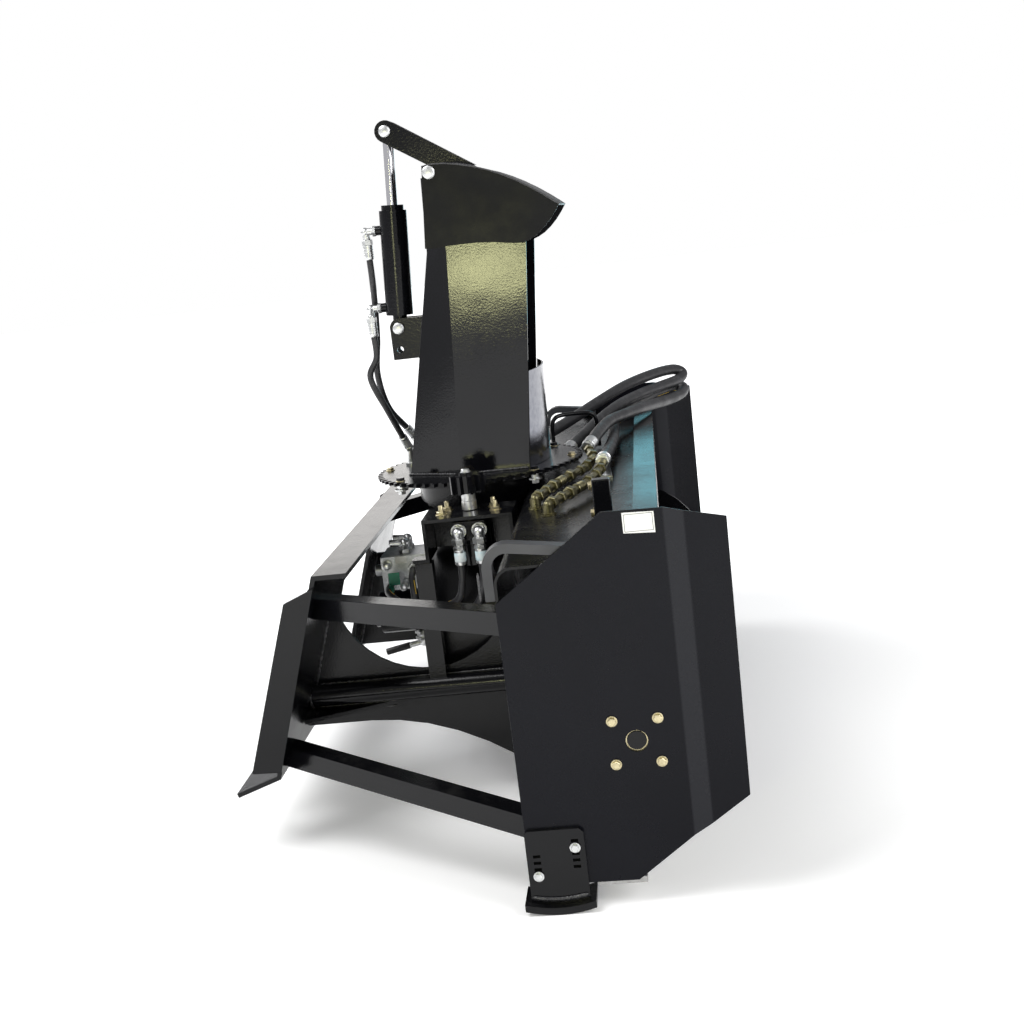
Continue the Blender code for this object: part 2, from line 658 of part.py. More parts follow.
def chute():
    """The bent chute, open at the front, tapering to its top."""
    shape = bmesh.new()
    low, bend, top = CHUTE_LEVELS
    steps = [[a + (b - a) * i / CHUTE_STEPS for a, b in zip(low, bend)] for i in range(CHUTE_STEPS + 1)]
    levels = []
    for level in steps + [top]:
        z = level[0]
        outer = [shape.verts.new((x, y, z)) for x, y in chute_line(level, 0)]
        inner = [shape.verts.new((x, y, z)) for x, y in chute_line(level, CHUTE_SHEET)]
        levels.append(outer + inner[::-1])
    count = len(levels[0])
    for low, high in zip(levels, levels[1:]):
        for i in range(count):
            j = (i + 1) % count
            shape.faces.new((low[i], low[j], high[j], high[i]))
    half = count // 2
    for loop in (levels[0], levels[-1]):
        for i in range(half - 1):
            shape.faces.new((loop[i], loop[i + 1], loop[count - 2 - i], loop[count - 1 - i]))
    bmesh.ops.triangulate(shape, faces=shape.faces)
    body = from_bmesh("chute", shape)
    paint(body, PAINT)


def chute_apron():
    """The rounded sheet that closes the chute's front just above the ring."""
    low, high = CHUTE_LEVELS[0][0], 0.925
    half, thick, count = 0.1345, 0.004, 12
    shape = bmesh.new()
    rows = []
    for z, front, bulge in ((low, 0.131, 0.040), (high, 0.153, 0.024)):
        for inset in (0, thick):
            row = []
            for i in range(count + 1):
                s = 2 * i / count - 1
                row.append(shape.verts.new(((half - inset) * s, front + (bulge - inset) * (1 - s * s), z)))
            rows.append(row)
    low_out, low_in, high_out, high_in = rows
    for first, second in ((low_out, high_out), (low_in, high_in), (low_out, low_in), (high_out, high_in)):
        for i in range(count):
            shape.faces.new((first[i], first[i + 1], second[i + 1], second[i]))
    for i in (0, count):
        shape.faces.new((low_out[i], high_out[i], high_in[i], low_in[i]))
    paint(from_bmesh("chute_apron", shape), STEEL)


def chute_back(z):
    """Y of the chute's back face at a height, with the touching gap."""
    low, high = CHUTE_LEVELS[:2]
    share = (z - low[0]) / (high[0] - low[0])
    return low[5] + (high[5] - low[5]) * share - GAP * 1.2


def cylinder_bracket():
    """The clevis on the chute's back that holds the cylinder's foot."""
    low, high = 0.972, 1.066
    base = ((chute_back(low), low), (chute_back(high), high), (chute_back(high) - 0.006, high),
            (chute_back(low) - 0.006, low))
    bracket = prism("cylinder_bracket", "X", base, -0.045, 0.045)
    ear = ((chute_back(low) - 0.003, low), (-0.168, low), (-0.168, 1.052), (-0.150, 1.068),
           (chute_back(high) - 0.003, high))
    ears = [prism("ear", "X", ear, side * 0.0205, side * 0.0275) for side in (-1, 1)]
    pin = rod("pin", "X", (FOOT_Y, FOOT_Z), PIN_R, -0.034, 0.034, 16)
    spare = rod("cutter", "X", (-0.150, 0.995), 0.008, -0.1, 0.1, 12)
    paint(cut(join(bracket, *ears, pin), spare), PAINT)


# ---- deflector and cylinder ----

def deflector_hood():
    """Two cheeks under a curved top sheet, with the pivot stubs."""
    crown = [(-0.030, 1.3975), (-0.010, 1.4000), (0.020, 1.3985), (0.052, 1.3925), (0.085, 1.3835),
             (0.115, 1.3730), (0.143, 1.3605), (0.172, 1.3450), (0.202, 1.3265), (0.231, 1.3060),
             (0.262, 1.2820)]
    belly = [(0.251, 1.2660), (0.238, 1.2500), (0.223, 1.2350), (0.207, 1.2225), (0.191, 1.2140),
             (0.176, 1.2090), (0.158, 1.2095), (0.134, 1.2130), (0.105, 1.2180), (0.070, 1.2205),
             (0.035, 1.2210), (0.010, 1.2215), (-0.014, 1.2195), (-0.030, 1.2190), (-0.045, 1.2205)]
    hood = prism("deflector_hood", "X", strip(crown, CHUTE_SHEET), -CHEEK_X - 0.004, CHEEK_X + 0.004)
    cheeks = [prism("cheek", "X", crown + belly, side * CHEEK_X, side * (CHEEK_X + 0.004)) for side in (-1, 1)]
    stubs = []
    for side in (-1, 1):
        stubs.append(rod("head", "X", (PIVOT_Y, PIVOT_Z), 0.0095, side * (CHEEK_X + 0.003),
                         side * (CHEEK_X + 0.012), 6))
    paint(hinge_at(join(hood, *cheeks, *stubs), (0, PIVOT_Y, PIVOT_Z)), PAINT)


def deflector_lever():
    """Two lever plates on the hood, joined by the pin of the rod's eye."""
    nose = circle((PIN_Y, PIN_Z), 0.025, 10, math.radians(55), math.radians(180), closed=False)
    root = [(-0.028, 1.4020), (-0.010, 1.4033), (0.034, 1.4013), (0.075, 1.3930)]
    plates = [prism(name, "X", nose + root, side * 0.0205, side * 0.0275)
              for name, side in (("plate", -1), ("deflector_lever", 1))]
    pin = rod("pin", "X", (PIN_Y, PIN_Z), PIN_R, -0.036, 0.036, 16)
    paint(hinge_at(join(plates[1], plates[0], pin), (0, PIVOT_Y, PIVOT_Z)), PAINT)


def along_cylinder(distance):
    """A point on the cylinder's axis, measured from its foot pin."""
    foot, head = Vector((0, FOOT_Y, FOOT_Z)), Vector((0, PIN_Y, PIN_Z))
    return foot + (head - foot).normalized() * distance


def cylinder():
    """Barrel with its foot eye, and the rod with its eye on the lever's pin."""
    length = math.hypot(PIN_Y - FOOT_Y, PIN_Z - FOOT_Z)
    barrel = rod_between("cylinder_barrel", along_cylinder(0.030), along_cylinder(0.270), BARREL_R, 28)
    gland = rod_between("gland", along_cylinder(0.262), along_cylinder(0.282), 0.026, 24)
    eye = rod("eye", "X", (FOOT_Y, FOOT_Z), 0.023, -0.0185, 0.0185)
    neck = rod_between("neck", along_cylinder(0.010), along_cylinder(0.040), 0.017, 16)
    bosses = [rod_between("boss", along_cylinder(d), along_cylinder(d) + Vector((0, -0.042, 0)), 0.011, 12)
              for d in (0.050, 0.228)]
    join(barrel, gland, neck, eye, *bosses)
    bore = rod_between("cutter", along_cylinder(0.060), along_cylinder(0.3), ROD_R + 0.0005, 24)
    pin_hole = rod("cutter", "X", (FOOT_Y, FOOT_Z), PIN_R + 0.0004, -0.1, 0.1, 20)
    paint(hinge_at(cut(barrel, bore, pin_hole), (0, FOOT_Y, FOOT_Z)), PAINT)

    bar = rod_between("cylinder_rod", along_cylinder(0.175), along_cylinder(length - 0.020), ROD_R, 24)
    rod_eye = rod("eye", "X", (PIN_Y, PIN_Z), 0.0245, -0.0185, 0.0185)
    loose = rod("cutter", "X", (PIN_Y, PIN_Z), PIN_R + ROD_END_CLEARANCE, -0.1, 0.1, 20)
    paint(hinge_at(cut(join(bar, rod_eye), loose), (0, PIN_Y, PIN_Z)), CHROME)


def cylinder_line(label, distance, x, drop, end):
    """One port elbow of the cylinder with its ferrule, and its hose down beside the chute."""
    port = along_cylinder(distance) + Vector((0, -0.042 - GAP, 0))
    bend = port + Vector((0, -0.026, 0))
    elbow = rod_between("cylinder_elbow_" + label, port, bend, 0.0095, 6)
    turn = bend + Vector((x, 0.002, -0.018))
    down = bend + Vector((x, 0.002, -drop))
    pieces = [rod_between("turn", bend + Vector((0, 0.007, 0)), turn, 0.0080, 12),
              rod_between("nut", turn + Vector((0, 0, 0.006)), turn - Vector((0, 0, 0.010)), 0.0115, 6),
              rod_between("ferrule", turn - Vector((0, 0, 0.008)), down, 0.0100, 12)]
    paint(join(elbow, *pieces), STEEL)
    start = down - Vector((0, 0, HOSE_GAP))
    route = [start, start - Vector((0, 0, 0.05)), *[Vector(p) for p in end]]
    paint(hose("cylinder_hose_" + label, route, 0.0075), RUBBER)


# ---- feed hoses and small pieces ----

FEED_R = 0.015
FEED_LINES = {
    "feed_hose_a": (
        (-0.205, 0.205, 0.685), (-0.270, 0.225, 0.692), (-0.400, 0.272, 0.715), (-0.530, 0.328, 0.735),
        (-0.660, 0.386, 0.742), (-0.770, 0.447, 0.745), (-0.850, 0.500, 0.750), (-0.878, 0.514, 0.764),
        (-0.868, 0.488, 0.778), (-0.800, 0.431, 0.779), (-0.680, 0.350, 0.769), (-0.550, 0.272, 0.747),
        (-0.430, 0.198, 0.722), (-0.330, 0.139, 0.705)),
    "feed_hose_b": (
        (-0.119, 0.262, 0.705), (-0.220, 0.282, 0.717), (-0.330, 0.306, 0.724), (-0.430, 0.345, 0.723),
        (-0.580, 0.402, 0.718), (-0.730, 0.464, 0.709), (-0.830, 0.505, 0.711), (-0.880, 0.512, 0.722),
        (-0.893, 0.484, 0.728), (-0.840, 0.432, 0.722), (-0.770, 0.390, 0.716), (-0.680, 0.350, 0.713),
        (-0.560, 0.318, 0.702), (-0.420, 0.312, 0.688), (-0.260, 0.312, 0.685), (-0.090, 0.304, 0.686),
        (0.080, 0.297, 0.697)),
}


def feed_hoses():
    """The two supply hoses, looped over the left end panel and back."""
    for name, route in FEED_LINES.items():
        paint(hose(name, route, FEED_R), RUBBER)


def hose_holder():
    """The low bracket on the housing top that holds both ends of each supply hose."""
    top = SHELL_TOP_Z + SHEET / 2 + GAP
    outline = ((-0.350, 0.105), (-0.285, 0.105), (-0.245, 0.185), (-0.165, 0.190), (-0.135, 0.225),
               (0.125, 0.270), (0.125, 0.315), (-0.135, 0.300), (-0.350, 0.185))
    base = prism("hose_holder", "Z", outline, top, top + 0.005)
    pieces = []
    for route in FEED_LINES.values():
        for end, after in ((route[0], route[1]), (route[-1], route[-2])):
            end = Vector(end)
            out = (end - Vector(after)).normalized()
            near, far = end + out * HOSE_GAP, end + out * 0.032
            pieces.append(rod_between("ferrule", near, far, FEED_R + 0.001, 16))
            pieces.append(rod("post", "Z", far - out * 0.012, 0.008, top + 0.002, far.z, 12))
    paint(join(base, *pieces), STEEL)


def panel_label():
    """The blank label on the right end panel."""
    face = PANEL_INNER_X + PANEL_THICK + GAP
    outline = ((0.352, 0.703), (0.408, 0.700), (0.408, 0.738), (0.352, 0.740))
    paint(prism("panel_label", "X", outline, face, face + 0.0006), LABEL)


quick_attach_plate()
housing_shell()
housing_bars()
impeller_drum()
throat_collar()
impeller()
auger()
gearbox()
drive_motor()
valve_block()
shutoff_valve()
for mark, way in (("right", 1), ("left", -1)):
    attach_cheek("attach_cheek_" + mark, way)
    struts(mark, way)
    side_web(mark, way)
    end_panel(mark, way)
    shaft_bearing(mark, way)
    corner_bar(mark, way)
    skid_shoe(mark, way)
rotation_drive()
rotation_line("a", -0.024, (
    (0.348, -0.026, 0.505), (0.335, -0.040, 0.465), (0.303, -0.075, 0.440), (0.2935, -0.110, 0.435),
    (0.262, -0.172, 0.440), (0.170, -0.228, 0.448), (0.0885, -0.235, 0.450)))
rotation_line("b", 0.022, (
    (0.348, 0.020, 0.500), (0.336, 0.000, 0.450), (0.305, -0.050, 0.412), (0.2985, -0.105, 0.405),
    (0.278, -0.142, 0.407), (0.170, -0.170, 0.468), (0.0890, -0.180, 0.480)))
pinion()
ring_gear()
for number in range(4):
    ring_roller(number)
chute()
chute_apron()
cylinder_bracket()
deflector_hood()
deflector_lever()
cylinder()
cylinder_line("a", 0.228, 0.0, 0.060,
              ((-0.026, -0.206, 1.100), (-0.028, -0.212, 1.020), (-0.026, -0.222, 0.940), (-0.045, -0.210, 0.855),
               (-0.085, -0.175, 0.790)))
cylinder_line("b", 0.050, 0.019, 0.060,
              ((0.016, -0.232, 0.935), (-0.005, -0.205, 0.850), (-0.060, -0.185, 0.770)))
feed_hoses()
hose_holder()
panel_label()
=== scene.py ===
"""Looks of the skid-steer snow blower: materials, welds, bolts, hoses and fittings on the CAD frame."""

import math
import random

import bmesh
import bpy
from mathutils import Matrix, Vector


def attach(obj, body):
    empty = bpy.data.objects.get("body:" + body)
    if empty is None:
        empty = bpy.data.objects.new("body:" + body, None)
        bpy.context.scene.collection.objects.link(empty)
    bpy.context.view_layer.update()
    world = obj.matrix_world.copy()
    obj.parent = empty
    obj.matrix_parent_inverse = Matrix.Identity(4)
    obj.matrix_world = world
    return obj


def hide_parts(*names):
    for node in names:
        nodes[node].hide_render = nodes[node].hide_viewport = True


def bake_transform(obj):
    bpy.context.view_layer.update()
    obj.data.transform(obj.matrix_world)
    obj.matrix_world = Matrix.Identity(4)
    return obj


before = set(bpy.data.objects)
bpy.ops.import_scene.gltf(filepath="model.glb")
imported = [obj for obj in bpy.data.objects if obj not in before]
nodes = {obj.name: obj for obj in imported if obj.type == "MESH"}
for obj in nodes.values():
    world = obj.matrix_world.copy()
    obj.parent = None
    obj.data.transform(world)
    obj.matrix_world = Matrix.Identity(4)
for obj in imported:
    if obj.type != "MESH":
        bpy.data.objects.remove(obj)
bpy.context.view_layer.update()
random.seed(7)

UP, DOWN, RIGHT, BACK = (0, 0, 1), (0, 0, -1), (1, 0, 0), (0, -1, 0)
HOUSING_TOP = 0.6603        # upper face of the housing's top sheet
FOOT_TOP = 0.6660           # upper face of a foot plate that lies on it
RING_TOP = 0.7048           # upper face of the toothed ring
PORT_FACE = 0.0553          # right face of the valve block


# ---- camera and lights ----

def add_camera():
    """The side view, a little from above, turned about its own axis as the machine leans back."""
    azimuth, pitch, roll = (math.radians(v) for v in (96.29, 11.40, 6.91))
    data = bpy.data.cameras.new("camera")
    data.sensor_width = 36.0
    data.lens = 50.69
    data.clip_end = 100
    camera = bpy.data.objects.new("camera", data)
    bpy.context.scene.collection.objects.link(camera)
    level = math.cos(pitch)
    back = Vector((math.sin(azimuth) * level, -math.cos(azimuth) * level, math.sin(pitch)))
    right = Vector((0, 0, 1)).cross(back).normalized()
    up = back.cross(right)
    turned_right = right * math.cos(roll) - up * math.sin(roll)
    turned_up = right * math.sin(roll) + up * math.cos(roll)
    camera.matrix_world = Matrix((turned_right, turned_up, back)).transposed().to_4x4()
    camera.location = (3.376, 0.434, 1.262)
    bpy.context.scene.camera = camera


def area_light(name, place, target, size, power, colour=(1, 1, 1)):
    data = bpy.data.lights.new(name, "AREA")
    data.shape = "RECTANGLE"
    data.size, data.size_y = size
    data.energy = power
    data.color = colour
    lamp = bpy.data.objects.new(name, data)
    lamp.visible_camera = False
    bpy.context.scene.collection.objects.link(lamp)
    lamp.location = place
    lamp.rotation_euler = (Vector(target) - Vector(place)).to_track_quat("-Z", "Y").to_euler()


def add_studio():
    """A backdrop that shows white but lights softly, three soft lamps and three for reflections."""
    scene = bpy.context.scene
    scene.view_settings.view_transform = "Standard"
    world = bpy.data.worlds.new("studio")
    scene.world = world
    world.use_nodes = True
    tree = world.node_tree
    background = tree.nodes["Background"]
    seen = tree.nodes.new("ShaderNodeLightPath").outputs["Is Camera Ray"]
    coordinates = tree.nodes.new("ShaderNodeTexCoord").outputs["Generated"]
    split = tree.nodes.new("ShaderNodeSeparateXYZ")
    tree.links.new(coordinates, split.inputs[0])
    ramp = tree.nodes.new("ShaderNodeValToRGB")
    for element, (place, grey) in zip(ramp.color_ramp.elements, ((0.0, 0.52), (0.7, 0.44))):
        element.position = place
        element.color = (grey, grey, grey * 1.02, 1)
    tree.links.new(split.outputs["Z"], ramp.inputs["Fac"])
    mix = tree.nodes.new("ShaderNodeMix")
    mix.data_type = "RGBA"
    tree.links.new(seen, mix.inputs[0])
    tree.links.new(ramp.outputs["Color"], mix.inputs[6])
    mix.inputs[7].default_value = (1.0, 1.0, 1.0, 1)
    tree.links.new(mix.outputs[2], background.inputs["Color"])
    background.inputs["Strength"].default_value = 1.0
    area_light("key", (1.6, -1.8, 4.0), (0, 0, 0.6), (2.4, 2.4), 120)
    area_light("front", (2.6, 3.4, 2.6), (0, 0, 0.5), (2.0, 2.6), 90)
    area_light("rear", (-2.8, -3.0, 3.0), (0, 0, 0.6), (2.4, 2.0), 90)
    area_light("strip", (4.2, -0.34, 1.17), (0.13, 0.1, 1.15), (0.60, 0.27), 11, (1.0, 1.0, 0.52))
    area_light("window", (-3.6, -1.05, 1.35), (0, 0, 0.7), (1.8, 1.1), 8, (1.0, 0.97, 0.93))
    area_light("cyan_wall", (-3.6, 0.55, 1.15), (0, 0.3, 0.7), (0.60, 0.9), 4, (0.03, 0.40, 0.50))
    bpy.ops.mesh.primitive_plane_add(size=60, location=(0, 0, -0.0005))
    floor = bpy.context.object
    floor.name = "floor"
    return floor


# ---- materials ----

class Paint:
    """A material's node tree, with short ways to add what most of them need."""

    def __init__(self, name):
        self.material = bpy.data.materials.new(name)
        self.material.use_nodes = True
        self.tree = self.material.node_tree
        self.shader = self.tree.nodes["Principled BSDF"]
        self.where = self.node("ShaderNodeTexCoord").outputs["Object"]

    def node(self, kind, **settings):
        made = self.tree.nodes.new(kind)
        for key, value in settings.items():
            setattr(made, key, value)
        return made

    def link(self, source, target):
        self.tree.links.new(source, target)

    def noise(self, scale, detail=3.0, rough=0.5, stretch=None):
        texture = self.node("ShaderNodeTexNoise")
        texture.inputs["Scale"].default_value = scale
        texture.inputs["Detail"].default_value = detail
        texture.inputs["Roughness"].default_value = rough
        source = self.where
        if stretch:
            mapping = self.node("ShaderNodeMapping")
            mapping.inputs["Scale"].default_value = stretch
            self.link(self.where, mapping.inputs["Vector"])
            source = mapping.outputs["Vector"]
        self.link(source, texture.inputs["Vector"])
        return texture.outputs["Fac"]

    def ramp(self, source, stops):
        made = self.node("ShaderNodeValToRGB")
        bar = made.color_ramp
        while len(bar.elements) < len(stops):
            bar.elements.new(0.5)
        for element, (place, colour) in zip(bar.elements, stops):
            element.position = place
            element.color = (*colour, 1) if isinstance(colour, tuple) else (colour, colour, colour, 1)
        self.link(source, made.inputs["Fac"])
        return made.outputs["Color"]

    def mix(self, factor, first, second, blend="MIX"):
        made = self.node("ShaderNodeMix", data_type="RGBA", blend_type=blend)
        for source, socket in ((factor, made.inputs[0]), (first, made.inputs[6]), (second, made.inputs[7])):
            if isinstance(source, (int, float)):
                socket.default_value = source
            elif isinstance(source, tuple):
                socket.default_value = (*source, 1)
            else:
                self.link(source, socket)
        return made.outputs[2]

    def bump(self, *layers):
        """Bumps in a chain, each (height, distance, strength)."""
        normal = None
        for height, distance, strength in layers:
            made = self.node("ShaderNodeBump")
            made.inputs["Distance"].default_value = distance
            made.inputs["Strength"].default_value = strength
            self.link(height, made.inputs["Height"])
            if normal:
                self.link(normal, made.inputs["Normal"])
            normal = made.outputs["Normal"]
        self.link(normal, self.shader.inputs["Normal"])

    def set(self, **values):
        for key, value in values.items():
            self.shader.inputs[key.replace("_", " ")].default_value = value

    def colour(self, source):
        self.link(source, self.shader.inputs["Base Color"])

    def roughness(self, source):
        self.link(source, self.shader.inputs["Roughness"])

    def upward(self, low, high):
        """How far a surface faces up, from 0 at low to 1 at high."""
        normal = self.node("ShaderNodeNewGeometry").outputs["Normal"]
        split = self.node("ShaderNodeSeparateXYZ")
        self.link(normal, split.inputs[0])
        return self.ramp(split.outputs["Z"], ((low, 0.0), (high, 1.0)))


def powder_coat(name, coat, low, high, peel=0.35, shine=0.24, band=None):
    """Black coat of two tones and a range of roughness: orange peel, smudged gloss, a little dust on top.

    A band is the stretch along Y painted paler: a painted highlight where the bent sheet catches the light."""
    dark, light = coat
    p = Paint(name)
    base = p.ramp(p.noise(3.2, 4, 0.6), ((0.35, dark), (0.70, light)))
    # painted highlight: a paler colour along the band, where the sheet's bend catches the light
    if band:
        split = p.node("ShaderNodeSeparateXYZ")
        p.link(p.where, split.inputs[0])
        (near, far), soft = band, 0.001
        stops = ((near - soft, 0.0), (near, 1.0), (far, 1.0), (far + soft, 0.0))
        base = p.mix(p.ramp(split.outputs["Y"], stops), base, PAINTED_SHEEN)
    patches = p.ramp(p.noise(18, 6, 0.7), ((0.50, 0.0), (0.85, 0.5)))
    dust = p.mix(1.0, p.upward(0.75, 1.0), patches, "MULTIPLY")
    p.colour(p.mix(dust, base, (0.05, 0.05, 0.048)))
    p.roughness(p.ramp(p.noise(6.5, 6, 0.7), ((0.32, low), (0.72, high))))
    p.set(Specular_IOR_Level=shine)
    p.bump((p.noise(240, 2, 0.5), 0.0007, peel), (p.noise(7, 2, 0.5), 0.006, 0.10),
           (p.noise(620, 2, 0.5), 0.0003, 0.15))
    return p.material


def plated(name, tint, shade, low, high, metallic=1.0):
    """Plated steel: fine grain, mottled plating, a few dull spots."""
    p = Paint(name)
    mottle = p.noise(90, 5, 0.7)
    p.colour(p.ramp(mottle, ((0.30, shade), (0.62, tint))))
    p.roughness(p.ramp(p.noise(160, 4, 0.6), ((0.3, low), (0.75, high))))
    p.set(Metallic=metallic)
    p.bump((p.noise(700, 3, 0.6), 0.0004, 0.25), (p.noise(60, 2, 0.5), 0.0008, 0.12))
    return p.material


def rubber(name, colour, braid=True):
    """Hose cover: fine wrapped texture, chalky scuffs."""
    p = Paint(name)
    scuff = p.ramp(p.noise(38, 6, 0.75), ((0.52, 0.0), (0.78, 1.0)))
    p.colour(p.mix(scuff, colour, tuple(min(1.0, c * 2.6 + 0.02) for c in colour)))
    p.roughness(p.ramp(p.noise(24, 4, 0.6), ((0.3, 0.36), (0.75, 0.62))))
    wrap = p.noise(260, 3, 0.6, (1.0, 0.35, 1.0)) if braid else p.noise(400, 2, 0.5)
    p.bump((wrap, 0.0010, 0.40), (p.noise(1300, 2, 0.5), 0.0002, 0.3))
    return p.material


def weld_metal():
    p = Paint("weld_bead")
    p.colour(p.ramp(p.noise(120, 4, 0.7), ((0.35, (0.018, 0.018, 0.020)), (0.75, (0.045, 0.045, 0.048)))))
    p.roughness(p.ramp(p.noise(80, 4, 0.6), ((0.3, 0.18), (0.7, 0.36))))
    p.set(Specular_IOR_Level=0.6)
    p.bump((p.noise(420, 3, 0.6), 0.0012, 0.5))
    return p.material


def matt_sheet(name, colour, second, scale=60):
    """Paper, tape and plastic: faint fibres and soft marks."""
    p = Paint(name)
    p.colour(p.ramp(p.noise(scale, 5, 0.6), ((0.35, second), (0.65, colour))))
    p.roughness(p.ramp(p.noise(scale * 1.7, 3, 0.5), ((0.3, 0.38), (0.7, 0.58))))
    p.bump((p.noise(scale * 9, 3, 0.6), 0.0003, 0.2))
    return p.material


def floor_finish():
    p = Paint("studio_floor")
    p.colour(p.ramp(p.noise(1.2, 3, 0.5), ((0.3, (0.93, 0.93, 0.93)), (0.7, (0.95, 0.95, 0.95)))))
    distance = p.node("ShaderNodeVectorMath", operation="LENGTH")
    p.link(p.where, distance.inputs[0])
    glow = p.node("ShaderNodeMapRange")
    for name, value in (("From Min", 1.3), ("From Max", 3.2), ("To Min", 0.22), ("To Max", 1.0)):
        glow.inputs[name].default_value = value
    p.link(distance.outputs["Value"], glow.inputs["Value"])
    p.link(glow.outputs["Result"], p.shader.inputs["Emission Strength"])
    p.set(Roughness=0.85, Emission_Color=(1, 1, 1, 1))
    return p.material


JET = (0.0022, 0.0023, 0.0032), (0.0042, 0.0044, 0.0056)
BLUE_BLACK = (0.0022, 0.0024, 0.0048), (0.0040, 0.0043, 0.0074)
SMUDGED = (0.0022, 0.0023, 0.0032), (0.0060, 0.0062, 0.0074)
# scuffed paint and a painted highlight: the corner bars' coat is painted many times paler than the black, for
# the light on their edges
SCUFFED_AND_HIGHLIT = (0.022, 0.023, 0.026), (0.070, 0.071, 0.076)
SHADED = (0.0028, 0.0029, 0.0036), (0.0050, 0.0050, 0.0060)
# painted highlight of the panel's bend: its paler colour and its stretch along Y
PAINTED_SHEEN = (0.016, 0.0165, 0.0205)
JOGGLE_SHEEN_BAND = (0.4252, 0.4585)

BLACK = powder_coat("black_powder_coat", JET, 0.10, 0.24)
# the panel's coat carries the painted highlight along its bend
PANEL = powder_coat("panel_powder_coat", BLUE_BLACK, 0.22, 0.34, 0.20, 0.14, JOGGLE_SHEEN_BAND)
GLOSS = powder_coat("chute_powder_coat", JET, 0.04, 0.11, 0.14, 0.34)
HOOD = powder_coat("hood_powder_coat", SMUDGED, 0.24, 0.46, 0.16, 0.13)
# corner bars' coat: scuffs and a painted highlight
WORN_AND_HIGHLIT = powder_coat("worn_highlit_powder_coat", SCUFFED_AND_HIGHLIT, 0.30, 0.50, 0.5, 0.4)
INSIDE = powder_coat("inner_powder_coat", SHADED, 0.16, 0.34, 0.2)
ZINC = plated("yellow_zinc", (0.60, 0.53, 0.34), (0.40, 0.35, 0.22), 0.28, 0.46)
STEEL = plated("clear_zinc", (0.70, 0.71, 0.71), (0.54, 0.55, 0.55), 0.26, 0.44)
APRON = plated("bright_sheet", (0.20, 0.205, 0.23), (0.13, 0.135, 0.16), 0.07, 0.16)
EDGE = plated("bare_edge", (0.42, 0.42, 0.42), (0.30, 0.29, 0.28), 0.34, 0.56)
CHROME = plated("chrome", (0.80, 0.80, 0.83), (0.76, 0.76, 0.79), 0.05, 0.09)
CAST = plated("cast_aluminium", (0.52, 0.53, 0.54), (0.36, 0.37, 0.38), 0.34, 0.55)
BRASS = plated("dark_plating", (0.24, 0.22, 0.12), (0.10, 0.09, 0.05), 0.26, 0.46)
HOSE = rubber("hose_cover", (0.016, 0.016, 0.018))
GRIP = rubber("grip", (0.012, 0.012, 0.012), braid=False)
WELD = weld_metal()
STRIPE = matt_sheet("hose_stripe", (0.78, 0.52, 0.05), (0.62, 0.40, 0.04), 120)
LABEL = matt_sheet("label_paper", (0.80, 0.80, 0.77), (0.72, 0.72, 0.69))
INK = matt_sheet("label_border", (0.12, 0.12, 0.12), (0.18, 0.18, 0.18))
GREEN = matt_sheet("green_tape", (0.02, 0.24, 0.14), (0.015, 0.18, 0.10))
SKY = matt_sheet("ferrule_sleeve", (0.45, 0.66, 0.74), (0.70, 0.76, 0.78), 30)

dict.fromkeys((BLACK, GLOSS, HOOD, WORN_AND_HIGHLIT, INSIDE, WELD), "black_paint")
dict.fromkeys((ZINC, BRASS), "zinc")
dict.fromkeys((STEEL, APRON, EDGE), "steel")
dict.fromkeys((HOSE, GRIP, STRIPE), "rubber")
dict.fromkeys((LABEL, INK, GREEN, SKY), "label")


# ---- pieces ----

def finish(made, material, body, *replaced, smooth=35):
    """Material, shading and body of a new piece, and the CAD nodes it replaces hidden; a piece given no body
    is not attached here.
    """
    made.data.materials.clear()
    made.data.materials.append(material)
    if made.type == "MESH":
        made.data.polygons.foreach_set("use_smooth", [True] * len(made.data.polygons))
        made.data.set_sharp_from_angle(angle=math.radians(smooth))
    if body:
        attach(made, body)
    if replaced:
        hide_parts(*replaced)
    return made


def from_bmesh(name, shape):
    mesh = bpy.data.meshes.new(name)
    bmesh.ops.recalc_face_normals(shape, faces=shape.faces)
    shape.to_mesh(mesh)
    shape.free()
    made = bpy.data.objects.new(name, mesh)
    bpy.context.scene.collection.objects.link(made)
    return made


def bevelled(made, width, segments=2, angle=35):
    step = made.modifiers.new("edges", "BEVEL")
    step.width = width
    step.segments = segments
    step.limit_method = "ANGLE"
    step.angle_limit = math.radians(angle)
    step.harden_normals = True
    return made


def smooth_route(points, steps):
    """Points of a Catmull-Rom curve through the given ones."""
    knots = [Vector(p) for p in points]
    knots = [knots[0] * 2 - knots[1], *knots, knots[-1] * 2 - knots[-2]]
    route = []
    for i in range(1, len(knots) - 2):
        a, b, c, d = knots[i - 1:i + 3]
        for k in range(steps):
            t = k / steps
            bend = (2 * a - 5 * b + 4 * c - d) * t * t + (3 * b - a - 3 * c + d) * t ** 3
            route.append((2 * b + (c - a) * t + bend) / 2)
    route.append(knots[-2])
    return route


def frames_along(route):
    """A tangent, a side and an over direction at each point, turning as little as possible."""
    tangents = []
    for i in range(len(route)):
        tangents.append((route[min(i + 1, len(route) - 1)] - route[max(i - 1, 0)]).normalized())
    side = tangents[0].orthogonal().normalized()
    frames = []
    for tangent in tangents:
        side = (side - tangent * side.dot(tangent)).normalized()
        frames.append((tangent, side, tangent.cross(side)))
    return frames


